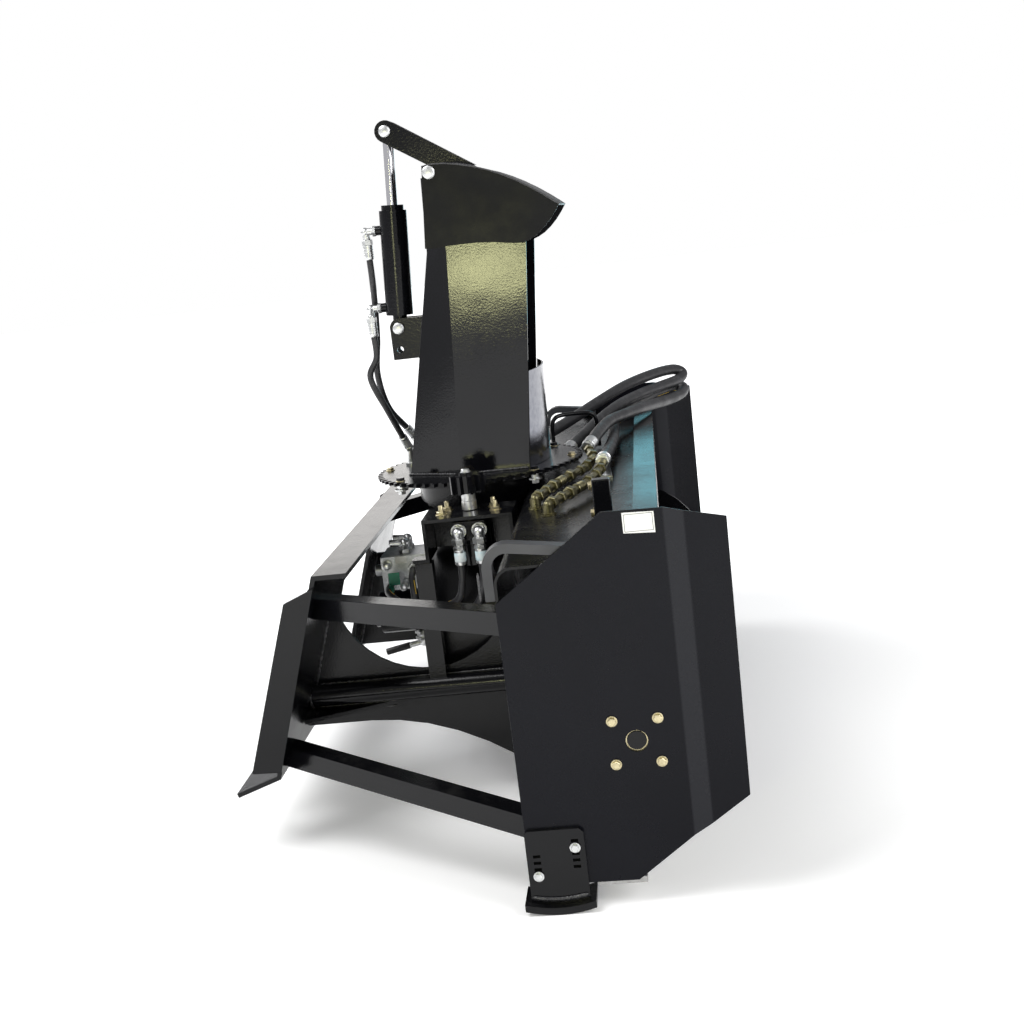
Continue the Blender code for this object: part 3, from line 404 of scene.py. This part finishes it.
def add_tube(shape, route, radii, sides):
    """A closed tube through a route, with a radius at each point, added to a bmesh."""
    rings = []
    for place, (_, side, over), radius in zip(route, frames_along(route), radii):
        ring = []
        for k in range(sides):
            angle = 2 * math.pi * k / sides
            ring.append(shape.verts.new(place + (side * math.cos(angle) + over * math.sin(angle)) * radius))
        rings.append(ring)
    for first, second in zip(rings, rings[1:]):
        for k in range(sides):
            m = (k + 1) % sides
            shape.faces.new((first[k], first[m], second[m], second[k]))
    shape.faces.new(rings[0][::-1])
    shape.faces.new(rings[-1])


def tube(name, points, radius, material, body, *replaced, steps=8, sides=20):
    shape = bmesh.new()
    route = smooth_route(points, steps)
    add_tube(shape, route, [radius] * len(route), sides)
    return finish(from_bmesh(name, shape), material, body, *replaced, smooth=50)


def bead(name, lines, radius, body, material=None):
    """Weld beads along lines: overlapping ripples a few millimetres apart."""
    shape = bmesh.new()
    for line in lines:
        knots = [Vector(p) for p in line]
        route, radii = [], []
        for start, end in zip(knots, knots[1:]):
            count = max(2, round((end - start).length / 0.0022))
            for i in range(count):
                route.append(start.lerp(end, i / count))
        route.append(knots[-1])
        wander = random.uniform(0, 6)
        for i in range(len(route)):
            ripple = 0.80 + 0.20 * abs(math.sin(i * 0.95 + wander)) + random.uniform(-0.05, 0.05)
            ends = min(1.0, 0.35 + 0.25 * min(i, len(route) - 1 - i))
            radii.append(radius * ripple * ends)
        add_tube(shape, route, radii, 7)
    return finish(from_bmesh(name, shape), material or WELD, body, smooth=60)


def add_turned(shape, profile, start, way, sides=24):
    """A solid turned about an axis: profile is (distance, radius) along way from start."""
    way = Vector(way).normalized()
    side = way.orthogonal().normalized()
    over = way.cross(side)
    rings = []
    for distance, radius in profile:
        ring = []
        for k in range(sides):
            angle = 2 * math.pi * k / sides
            out = side * math.cos(angle) + over * math.sin(angle)
            ring.append(shape.verts.new(Vector(start) + way * distance + out * radius))
        rings.append(ring)
    for first, second in zip(rings, rings[1:]):
        for k in range(sides):
            m = (k + 1) % sides
            shape.faces.new((first[k], first[m], second[m], second[k]))
    shape.faces.new(rings[0][::-1])
    shape.faces.new(rings[-1])


def turned(name, profile, start, way, material, body, *replaced, sides=28):
    shape = bmesh.new()
    add_turned(shape, profile, start, way, sides)
    return finish(from_bmesh(name, shape), material, body, *replaced)


def add_bolt(shape, place, way, size, washer=True, twist=0.0):
    """A chamfered hex head with a shallow dimple, on a washer; size is half its width over corners."""
    place, way = Vector(place), Vector(way).normalized()
    low = 0.0
    if washer:
        low = size * 0.16
        add_turned(shape, ((0, size * 1.28), (low * 0.7, size * 1.28), (low, size * 1.2)), place, way, 24)
    head = size * 0.62
    side = Matrix.Rotation(twist, 3, way) @ way.orthogonal().normalized()
    over = way.cross(side)
    rings = []
    outline = ((low - size * 0.02, 1.0), (low + head * 0.84, 1.0),
               (low + head, 0.86), (low + head * 0.93, 0.55))
    for height, share in outline:
        ring = []
        for k in range(6):
            angle = 2 * math.pi * k / 6
            out = side * math.cos(angle) + over * math.sin(angle)
            ring.append(shape.verts.new(place + way * height + out * size * share))
        rings.append(ring)
    for first, second in zip(rings, rings[1:]):
        for k in range(6):
            m = (k + 1) % 6
            shape.faces.new((first[k], first[m], second[m], second[k]))
    shape.faces.new(rings[0][::-1])
    shape.faces.new(rings[-1])


def bolts(name, places, way, size, material, body, washer=True):
    shape = bmesh.new()
    for place in places:
        add_bolt(shape, place, way, size, washer, random.uniform(0, 1))
    return finish(from_bmesh(name, shape), material, body, smooth=30)


def add_box(shape, low, high):
    ends = list(zip(low, high))
    corners = [Vector((x, y, z)) for x in ends[0] for y in ends[1] for z in ends[2]]
    verts = [shape.verts.new(c) for c in corners]
    for face in ((0, 1, 3, 2), (4, 6, 7, 5), (0, 4, 5, 1), (2, 3, 7, 6), (0, 2, 6, 4), (1, 5, 7, 3)):
        shape.faces.new([verts[i] for i in face])


def boxes(name, ranges, material, body, width=0.0015, *replaced):
    shape = bmesh.new()
    for low, high in ranges:
        add_box(shape, low, high)
    return bevelled(finish(from_bmesh(name, shape), material, body, *replaced), width)


# ---- the CAD nodes' own finish ----

CAD_FINISH = {
    PANEL: ("end_panel_right", "end_panel_left"),
    ZINC: ("shaft_bearing_right", "shaft_bearing_left"),
    STEEL: ("shutoff_valve", "hose_holder", "rotation_elbow_a", "rotation_elbow_b", "cylinder_elbow_a",
            "cylinder_elbow_b", "ring_roller_1", "ring_roller_2", "ring_roller_3", "ring_roller_4"),
    APRON: ("chute_apron",),
    GLOSS: ("chute",),
    HOOD: ("deflector_hood",),
    # corner bars: scuffed coat with a painted highlight
    WORN_AND_HIGHLIT: ("corner_bar_right", "corner_bar_left"),
    EDGE: ("cutting_edge",),
    CHROME: ("cylinder_rod",),
    CAST: ("valve_block",),
    GRIP: ("valve_lever",),
    LABEL: ("panel_label",),
    INSIDE: ("housing_shell", "impeller_drum", "impeller", "auger", "gearbox"),
}
USUAL_EDGE = 0.001
EDGE_WIDTH = {"end_panel_right": 0.0012, "end_panel_left": 0.0012, "chute": 0.0, "auger": 0.0,
              "panel_label": 0.0, "ring_gear": 0.0008}
SAME_POINT = 0.00002        # the loaded triangles each have their own corners
CREASE, CHUTE_CREASE = math.radians(32), math.radians(15)


def dress_cad():
    """Every CAD node gets its finish; its loose triangles are joined, rounded at edges and smooth between."""
    chosen = {name: material for material, names in CAD_FINISH.items() for name in names}
    for name, node in nodes.items():
        node.data.materials.clear()
        node.data.materials.append(chosen.get(name, BLACK))
        node.data.polygons.foreach_set("use_smooth", [True] * len(node.data.polygons))
        loaded = node.data.attributes.get("custom_normal")
        if loaded:
            node.data.attributes.remove(loaded)
        joined = node.modifiers.new("joined", "WELD")
        joined.merge_threshold = SAME_POINT
        width = EDGE_WIDTH.get(name, USUAL_EDGE)
        if width:
            bevelled(node, width)
        creased = node.modifiers.new("creased", "EDGE_SPLIT")
        creased.split_angle = CHUTE_CREASE if name == "chute" else CREASE


# ---- hoses ----

FEED_A = (
    (-0.205, 0.205, 0.685), (-0.270, 0.225, 0.692), (-0.400, 0.272, 0.715), (-0.530, 0.328, 0.735),
    (-0.660, 0.386, 0.742), (-0.770, 0.447, 0.745), (-0.850, 0.500, 0.750), (-0.878, 0.514, 0.764),
    (-0.868, 0.488, 0.778), (-0.800, 0.431, 0.779), (-0.680, 0.350, 0.769), (-0.550, 0.272, 0.747),
    (-0.430, 0.198, 0.722), (-0.330, 0.139, 0.705),
)
FEED_B = (
    (-0.119, 0.262, 0.705), (-0.220, 0.282, 0.717), (-0.330, 0.306, 0.724), (-0.430, 0.345, 0.723),
    (-0.580, 0.402, 0.718), (-0.730, 0.464, 0.709), (-0.830, 0.505, 0.711), (-0.880, 0.512, 0.722),
    (-0.893, 0.484, 0.728), (-0.840, 0.432, 0.722), (-0.770, 0.390, 0.716), (-0.680, 0.350, 0.713),
    (-0.560, 0.318, 0.702), (-0.420, 0.312, 0.688), (-0.260, 0.312, 0.685), (-0.090, 0.304, 0.686),
    (0.080, 0.297, 0.697),
)
ROTATION_A = (
    (0.347, -0.024, 0.5462), (0.348, -0.026, 0.505), (0.335, -0.040, 0.465), (0.303, -0.075, 0.440),
    (0.2935, -0.110, 0.435), (0.262, -0.172, 0.440), (0.170, -0.228, 0.448), (0.0885, -0.235, 0.450),
)
ROTATION_B = (
    (0.347, 0.022, 0.5462), (0.348, 0.020, 0.500), (0.336, 0.000, 0.450), (0.305, -0.050, 0.412),
    (0.2985, -0.105, 0.405), (0.278, -0.142, 0.407), (0.170, -0.170, 0.468), (0.0890, -0.180, 0.480),
)
FEED_R, ROTATION_R, CYLINDER_R = 0.015, 0.008, 0.0075
HOSE_GAP = 0.0018
FOOT, PIN = Vector((0, -0.147, 1.045)), Vector((0, -0.119, 1.490))
# distance of the port from the foot pin, sideways shift of the elbow, and the hose's further points
CYLINDER_LINES = {
    "a": (0.228, 0.000, ((-0.026, -0.206, 1.100), (-0.028, -0.212, 1.020), (-0.026, -0.222, 0.940),
                         (-0.045, -0.210, 0.855), (-0.085, -0.175, 0.790))),
    "b": (0.050, 0.019, ((0.016, -0.232, 0.935), (-0.005, -0.205, 0.850), (-0.060, -0.185, 0.770))),
}


def stripe(name, route, radius, body, dash=(6, 8)):
    """Printed dashes along one side of a hose."""
    line = smooth_route(route, 8)
    marks = [p + side * (radius - 0.0004) for p, (_, side, _) in zip(line, frames_along(line))]
    shape = bmesh.new()
    drawn, period = dash
    for start in range(3, len(marks) - period, period):
        piece = marks[start:start + drawn]
        add_tube(shape, piece, [0.0011] * len(piece), 6)
    return finish(from_bmesh(name, shape), STRIPE, body)


def add_hoses():
    for name, route in (("feed_hose_a", FEED_A), ("feed_hose_b", FEED_B)):
        tube(name + "_cover", route, FEED_R, HOSE, "base", name, sides=24)
        stripe(name + "_stripe", route, FEED_R, "base")
        finish(supply_ferrules(name + "_ferrules", route), STEEL, "base")
    for name, route in (("rotation_hose_a", ROTATION_A), ("rotation_hose_b", ROTATION_B)):
        tube(name + "_cover", route, ROTATION_R, HOSE, "base", name)
        stripe(name + "_stripe", route, ROTATION_R, "base", (4, 6))


def supply_ferrules(name, route):
    """Crimped ferrules over both ends of a supply hose."""
    shape = bmesh.new()
    for end, after in ((route[0], route[1]), (route[-1], route[-2])):
        out = (Vector(end) - Vector(after)).normalized()
        add_ferrule(shape, Vector(end) - out * 0.012, out, FEED_R + 0.0022, 0.042)
        add_nut(shape, Vector(end) + out * 0.030, out, FEED_R + 0.001, 0.012)
    return from_bmesh(name, shape)


# ---- fittings ----

def add_nut(shape, place, way, radius, length):
    """A chamfered hexagon along a line."""
    way = Vector(way).normalized()
    edge = 0.0012
    profile = ((0, radius * 0.90), (edge, radius), (length - edge, radius), (length, radius * 0.90))
    add_turned(shape, profile, place, way, 6)


def add_ferrule(shape, place, way, radius, length):
    """A crimped hose end: a sleeve with pressed rings."""
    profile = [(0, radius * 0.88), (length * 0.05, radius)]
    for i in range(4):
        low = length * (0.20 + 0.17 * i)
        profile += [(low, radius), (low + length * 0.02, radius * 0.93), (low + length * 0.07, radius * 0.93),
                    (low + length * 0.09, radius)]
    profile += [(length * 0.95, radius), (length, radius * 0.90)]
    add_turned(shape, profile, place, way, 24)


def add_ball(shape, place, radius):
    """The knuckle of an elbow."""
    profile = [(radius * (1 - math.cos(t)), max(0.0004, radius * math.sin(t)))
               for t in (math.pi * i / 10 for i in range(11))]
    add_turned(shape, profile, Vector(place) - Vector((0, 0, radius)), UP, 20)


def add_pipe(shape, place, way, radius, length, sides=18):
    add_turned(shape, ((0, radius), (length, radius)), place, way, sides)


def add_seat(shape, place, way, radius):
    """The thin round seat of a port."""
    add_turned(shape, ((0, radius), (0.002, radius), (0.003, radius - 0.001)), place, way, 24)


def rotation_fittings():
    """Elbows on the rotation motor: port nut, elbow, swivel nut, crimped hose end and its sleeve."""
    port, out, high = 0.32685, 0.347, 0.612
    for label, y in (("a", -0.024), ("b", 0.022)):
        shape = bmesh.new()
        add_seat(shape, (port, y, high), RIGHT, 0.0175)
        add_nut(shape, (port + 0.003, y, high), RIGHT, 0.0155, 0.009)
        add_pipe(shape, (port + 0.010, y, high), RIGHT, 0.0105, out - port - 0.010, 20)
        add_ball(shape, (out, y, high), 0.0125)
        add_pipe(shape, (out, y, high), DOWN, 0.0105, 0.020, 20)
        add_nut(shape, (out, y, high - 0.012), DOWN, 0.0150, 0.014)
        add_pipe(shape, (out, y, high - 0.025), DOWN, 0.0100, 0.006, 20)
        add_nut(shape, (out, y, high - 0.029), DOWN, 0.0135, 0.008)
        add_ferrule(shape, (out, y, high - 0.036), DOWN, 0.0122, 0.034)
        finish(from_bmesh("rotation_fitting_" + label, shape), STEEL, "base", "rotation_elbow_" + label)
        sleeve = ((0, 0.0124), (0.001, 0.0128), (0.019, 0.0128), (0.020, 0.0124))
        turned("rotation_sleeve_" + label, sleeve, (out, y, high - 0.042), DOWN, SKY, "base")


def cylinder_fittings():
    """Elbows and crimped ends of the deflector cylinder's hoses, and the hoses down to the ring."""
    along = (PIN - FOOT).normalized()
    for label, (distance, x, end) in CYLINDER_LINES.items():
        port = FOOT + along * distance + Vector((0, -0.0423, 0))
        bend = port + Vector((0, -0.026, 0))
        turn = bend + Vector((x, 0.002, -0.018))
        down = bend + Vector((x, 0.002, -0.060))
        shape = bmesh.new()
        add_nut(shape, port, BACK, 0.0125, 0.009)
        add_pipe(shape, port, BACK, 0.0085, 0.020)
        add_ball(shape, bend, 0.0105)
        add_pipe(shape, bend, turn - bend, 0.0085, (turn - bend).length)
        add_ball(shape, turn, 0.0090)
        add_nut(shape, turn, DOWN, 0.0125, 0.013)
        add_ferrule(shape, turn - Vector((0, 0, 0.012)), DOWN, 0.0112, 0.034)
        finish(from_bmesh("cylinder_fitting_" + label, shape), STEEL, "cylinder_barrel",
               "cylinder_elbow_" + label)
        start = down - Vector((0, 0, HOSE_GAP))
        route = [start + Vector((0, 0, 0.008)), start - Vector((0, 0, 0.05)), *[Vector(p) for p in end]]
        name = "cylinder_hose_" + label
        cover = tube(name + "_cover", route, CYLINDER_R, HOSE, None, name)
        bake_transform(cover)
        ring_adaptor(label, route[-1], (route[-1] - route[-2]).normalized())


def ring_adaptor(label, end, out):
    """Where a cylinder hose ends: its ferrule and nut, and a stub that stands on the ring."""
    shape = bmesh.new()
    add_ferrule(shape, end - out * 0.012, out, 0.0108, 0.034)
    add_nut(shape, end + out * 0.021, out, 0.0118, 0.010)
    foot = Vector((end.x + out.x * 0.035, end.y + out.y * 0.035, RING_TOP))
    rise = end + out * 0.030 - foot
    profile = ((0, 0.0145), (0.006, 0.0145), (0.007, 0.0085), (rise.length, 0.0085))
    add_turned(shape, profile, foot, rise, 18)
    finish(from_bmesh("ring_adaptor_" + label, shape), STEEL, "chute")


SUPPLY_LINES = {
    "supply_line_a": ((0.400, 0.158, 0.682), (0.300, 0.182, 0.682), (0.205, 0.212, 0.683),
                      (0.105, 0.254, 0.685), (0.010, 0.272, 0.690), (-0.078, 0.256, 0.7005)),
    "supply_line_b": ((0.480, 0.190, 0.682), (0.400, 0.222, 0.683), (0.305, 0.262, 0.685),
                      (0.205, 0.290, 0.692), (0.122, 0.2955, 0.6990)),
}


def supply_lines():
    """Two lines of plated adaptors on the housing top, up to the supply hoses' ends."""
    stub = ((0, 0.0170), (0.004, 0.0170), (0.005, 0.0120), (0.022, 0.0120))
    for name, points in SUPPLY_LINES.items():
        shape = bmesh.new()
        points = [Vector(p) for p in points]
        for i, (start, end) in enumerate(zip(points, points[1:])):
            length = (end - start).length
            way = (end - start).normalized()
            add_pipe(shape, start, way, 0.0085, length)
            add_ball(shape, start, 0.0095)
            add_nut(shape, start + way * length * 0.16, way, 0.0142, length * 0.16)
            if i % 2:
                add_ferrule(shape, start + way * length * 0.52, way, 0.0112, length * 0.36)
            else:
                add_nut(shape, start + way * length * 0.70, way, 0.0128, length * 0.14)
        add_turned(shape, stub, (points[0].x, points[0].y, HOUSING_TOP), UP, 20)
        finish(from_bmesh(name, shape), BRASS, "base")


# ---- bolts and small pieces ----

def panel_bolts():
    """Bolts of the skid shoes and of the auger's flange bearings."""
    face, shoe = 0.9053, 0.0106
    for mark, side in (("right", 1), ("left", -1)):
        places = [(side * (face + shoe), y, z) for y, z in ((0.131, 0.0735), (0.204, 0.1258))]
        bolts("shoe_bolts_" + mark, places, (side, 0, 0), 0.0078, STEEL, "base")
        places = [(side * (face + 0.0015), 0.337 + a * 0.0415, 0.318 + b * 0.0415)
                  for a in (-1, 1) for b in (-1, 1)]
        bolts("bearing_bolts_" + mark, places, (side, 0, 0), 0.0080, ZINC, "base")


def turning_drive():
    """Bolts of the toothed ring, of the pinion with its collar, and of the motor's seat with studs."""
    radius, pinion_x = 0.2223, 0.27455
    places = [(radius * math.cos(math.radians(t)), radius * math.sin(math.radians(t)), 0.7045)
              for t in (-5, 40, 85, 130, 175, 220, 265, 310)]
    bolts("ring_bolts", places, UP, 0.0086, ZINC, "chute")
    bolts("pinion_bolt", [(pinion_x, 0, 0.733)], UP, 0.0090, STEEL, "pinion")
    collar = ((0, 0.0155), (0.001, 0.0168), (0.020, 0.0168), (0.021, 0.0158), (0.0375, 0.0158))
    turned("pinion_collar", collar, (pinion_x, 0, 0.6488), UP, STEEL, "pinion")
    seats = [(x, side * y, 0.648) for side in (-1, 1) for x, y in ((0.262, 0.052), (0.305, 0.060))]
    bolts("motor_seat_bolts", seats, UP, 0.0105, ZINC, "base")
    shape = bmesh.new()
    for place in seats:
        add_turned(shape, ((0, 0.0055), (0.020, 0.0055), (0.0215, 0.0045)), place, UP, 14)
    finish(from_bmesh("motor_seat_studs", shape), ZINC, "base")


def pivot_caps():
    """Round caps on both ends of the hood's, the lever's and the cylinder foot's pivots."""
    for name, place, size, body in (("hood_bolts", (0.1430, -0.016, 1.384), 0.0135, "deflector"),
                                    ("lever_pin_caps", (0.036, -0.119, 1.490), 0.0125, "deflector"),
                                    ("foot_pin_caps", (0.034, -0.147, 1.045), 0.0125, "chute")):
        profile = ((0, size * 1.05), (0.0015, size * 1.05), (0.0018, size), (0.0072, size),
                   (0.0084, size * 0.86))
        shape = bmesh.new()
        for side in (1, -1):
            add_turned(shape, profile, (side * place[0], place[1], place[2]), (side, 0, 0), 28)
        finish(from_bmesh(name, shape), STEEL, body)


GUARD_BAR = (
    (-0.275, 0.160, HOUSING_TOP + 0.0002), (-0.275, 0.160, 0.700), (-0.275, 0.161, 0.735),
    (-0.279, 0.170, 0.753), (-0.288, 0.190, 0.758), (-0.300, 0.230, 0.757), (-0.306, 0.262, 0.752),
    (-0.310, 0.272, 0.735), (-0.311, 0.274, 0.700), (-0.311, 0.274, FOOT_TOP),
)


def housing_pieces():
    """The drive motor's bolts, the label's border, the lifting bracket and the guard bar."""
    places = [(x, -0.1383, 0.360 + z) for x in (-0.051, 0.051) for z in (-0.051, 0.051)]
    bolts("motor_flange_bolts", places, BACK, 0.0105, ZINC, "base")
    skin, line = 0.9059, 0.0010
    proud = skin + 0.0003
    y0, y1, z0, z1 = 0.3545, 0.4055, 0.7045, 0.7365
    frame_lines = [((skin, y0, z0), (proud, y1, z0 + line)), ((skin, y0, z1 - line), (proud, y1, z1)),
                   ((skin, y0, z0), (proud, y0 + line, z1)), ((skin, y1 - line, z0), (proud, y1, z1))]
    boxes("label_border", frame_lines, INK, "base", 0.0001)
    foot = ((0.560, 0.280, HOUSING_TOP), (0.640, 0.335, FOOT_TOP))
    upright = ((0.585, 0.290, 0.6600), (0.612, 0.326, 0.7480))
    boxes("lifting_bracket", [foot, upright], BLACK, "base", 0.004)
    bolts("bracket_bolts", [(0.5985, 0.290, z) for z in (0.6800, 0.7350)], BACK, 0.0090, ZINC, "base")
    tube("guard_bar", GUARD_BAR, 0.0055, BLACK, "base", sides=16)


def valve_details():
    """Fittings on the control valve, the tape on its hose and the blank tag."""
    shape = bmesh.new()
    for y, z in ((-0.235, 0.450), (-0.180, 0.480)):
        add_seat(shape, (PORT_FACE, y, z), RIGHT, 0.0170)
        add_nut(shape, (0.058, y, z), RIGHT, 0.0155, 0.012)
        add_nut(shape, (0.071, y, z), RIGHT, 0.0140, 0.013)
    for y, z, reach in ((-0.207, 0.440, 0.040), (-0.246, 0.489, 0.024), (-0.170, 0.446, 0.018)):
        profile = ((0, 0.0115), (0.004, 0.0115), (0.005, 0.0085), (reach, 0.0085), (reach + 0.001, 0.0070))
        add_turned(shape, profile, (PORT_FACE, y, z), RIGHT, 22)
        add_nut(shape, (PORT_FACE + reach * 0.45, y, z), RIGHT, 0.0105, reach * 0.3)
    for x in (-0.030, 0.025):
        knuckle = (x, -0.205, 0.532)
        add_nut(shape, (x, -0.205, 0.508), UP, 0.0150, 0.010)
        add_ball(shape, knuckle, 0.0120)
        add_turned(shape, ((0, 0.0090), (0.034, 0.0090), (0.036, 0.0075)), knuckle, (0.15, -1, 0.1), 18)
    finish(from_bmesh("valve_fittings", shape), STEEL, "base")
    for level, z in (("low", 0.2840), ("high", 0.2985)):
        shape = bmesh.new()
        add_nut(shape, (0, -0.190, z), UP, 0.0215, 0.0085)
        finish(from_bmesh("shutoff_collar_" + level, shape), STEEL, "base")
    shape = bmesh.new()
    hub = ((0, 0.0122), (0.001, 0.0128), (0.013, 0.0128), (0.014, 0.0120))
    add_turned(shape, hub, (0, -0.190, 0.2682), UP, 20)
    arm = smooth_route(((0, -0.190, 0.2762), (0, -0.212, 0.2724), (0, -0.236, 0.2680)), 4)
    add_tube(shape, arm, [0.0070] * len(arm), 14)
    finish(from_bmesh("shutoff_arm", shape), STEEL, "valve_lever")
    tape = ((0, 0.0092), (0.001, 0.0098), (0.021, 0.0098), (0.022, 0.0092))
    turned("tape_band", tape, (0.128, -0.2305, 0.4475), (1, 0.0, -0.02), GREEN, "base")
    boxes("tape_flag", [((0.128, -0.2330, 0.4560), (0.1295, -0.2060, 0.4860))], GREEN, "base", 0.0004)
    boxes("blank_tag", [((0.0556, -0.226, 0.4900), (0.0566, -0.198, 0.5070))], LABEL, "base", 0.0004)


# ---- welds ----

def plate_front(z):
    """Y of the quick-attach plate's leaning front face at a height."""
    return -0.2944 + 0.320755 * (z - 0.594)


def ring_of(centre, radius, axis, count=40):
    """Points of a closed circle about an axis through a centre."""
    points = []
    for i in range(count + 1):
        a, b = radius * math.cos(2 * math.pi * i / count), radius * math.sin(2 * math.pi * i / count)
        points.append(Vector(centre) + Vector((a, 0, b) if axis == "Y" else (a, b, 0)))
    return points


CHUTE_FOOT = ((0.142, 0.128), (0.142, -0.031), (0.0765, -0.158), (-0.0765, -0.158), (-0.142, -0.031),
              (-0.142, 0.128))
BRACKET_FOOT = ((0.046, -0.1035, 0.972), (0.046, -0.0848, 1.066), (-0.046, -0.0848, 1.066),
                (-0.046, -0.1035, 0.972))
HOOD_CROWN = ((-0.030, 1.3975), (-0.010, 1.4000), (0.020, 1.3985), (0.052, 1.3925), (0.085, 1.3835),
              (0.115, 1.3730), (0.143, 1.3605), (0.172, 1.3450), (0.202, 1.3265), (0.231, 1.3060),
              (0.262, 1.2820))
LEVER_ROOT = ((-0.024, 1.4012), (-0.010, 1.4019), (0.034, 1.3990), (0.072, 1.3902))
POST_FOOT = ((0.3155, -0.128, 0.286), (0.3515, -0.128, 0.284), (0.3515, -0.086, 0.284),
             (0.3155, -0.086, 0.286))
TUBE_Z = 0.270              # height of the round side tubes


def add_welds():
    bead("weld_chute_ring", [[(x, y, 0.7062) for x, y in CHUTE_FOOT]], 0.0032, "chute")
    bead("weld_cylinder_bracket", [BRACKET_FOOT], 0.0024, "chute")
    edges = [[(x, y, z + 0.0005) for y, z in HOOD_CROWN] for x in (-0.1428, 0.1428)]
    bead("weld_hood_crown", edges, 0.0019, "deflector")
    roots = [[(x, y, z) for y, z in LEVER_ROOT] for x in (-0.028, -0.020, 0.020, 0.028)]
    bead("weld_lever", roots, 0.0038, "deflector")
    for mark, side in (("right", 1), ("left", -1)):
        side_welds(mark, side)
    bead("weld_post", [POST_FOOT], 0.0042, "base")
    bead("weld_drum", [ring_of((0, 0.1090, 0.360), 0.2868, "Y", 64)], 0.0034, "base")
    bead("weld_collar", [ring_of((0, 0, 0.6870), 0.1508, "Z", 48)], 0.0020, "base")


def side_welds(mark, side):
    """Welds of one side: web, side tube, gusset, cheek, corner bar and skid shoe."""
    lines = []
    for x in (0.3075, 0.3165):
        lines.append([(side * x, plate_front(z) + 0.001, z) for z in (0.195, 0.255, 0.310, 0.375, 0.438)])
        lines.append([(side * x, 0.1110, z) for z in (0.080, 0.180, 0.300, 0.418)])
    bead("weld_web_" + mark, lines, 0.0030, "base")
    ends = [ring_of((side * 0.3403, y, TUBE_Z), 0.0245, "Y", 24)
            for y in (plate_front(TUBE_Z) + 0.001, 0.1105)]
    bead("weld_tube_" + mark, ends, 0.0030, "base")
    seam = [[(side * 0.3175, y, z) for y in (-0.385, -0.250, -0.120, 0.000, 0.110)]
            for z in (0.2895, 0.2505)]
    bead("weld_tube_side_" + mark, seam, 0.0026, "base")
    gusset = [[(side * 0.3172, y, z) for y in (-0.395, -0.215)] for z in (0.2370, 0.2250)]
    bead("weld_gusset_" + mark, gusset, 0.0028, "base")
    cheek = [(side * 0.5660, plate_front(z) - 0.011, z) for z in (0.188, 0.300, 0.430, 0.572)]
    bead("weld_cheek_" + mark, [cheek], 0.0030, "base")
    bar = [[(side * 0.8985, 0.086, z) for z in (0.602, 0.655)],
           [(side * 0.8670, 0.1125, z) for z in (0.602, 0.650)]]
    bead("weld_corner_bar_" + mark, bar, 0.0028, "base")
    middle, half, curl = 0.1665, 0.0665, 0.010
    sole = [(side * 0.9148, y, 0.0265 + curl * ((y - middle) / half) ** 2)
            for y in (0.115, 0.140, 0.167, 0.194, 0.219)]
    bead("weld_shoe_" + mark, [sole], 0.0036, "base")


def build():
    add_camera()
    add_studio().data.materials.append(floor_finish())
    dress_cad()
    add_hoses()
    rotation_fittings()
    cylinder_fittings()
    supply_lines()
    panel_bolts()
    turning_drive()
    pivot_caps()
    housing_pieces()
    valve_details()
    add_welds()


build()
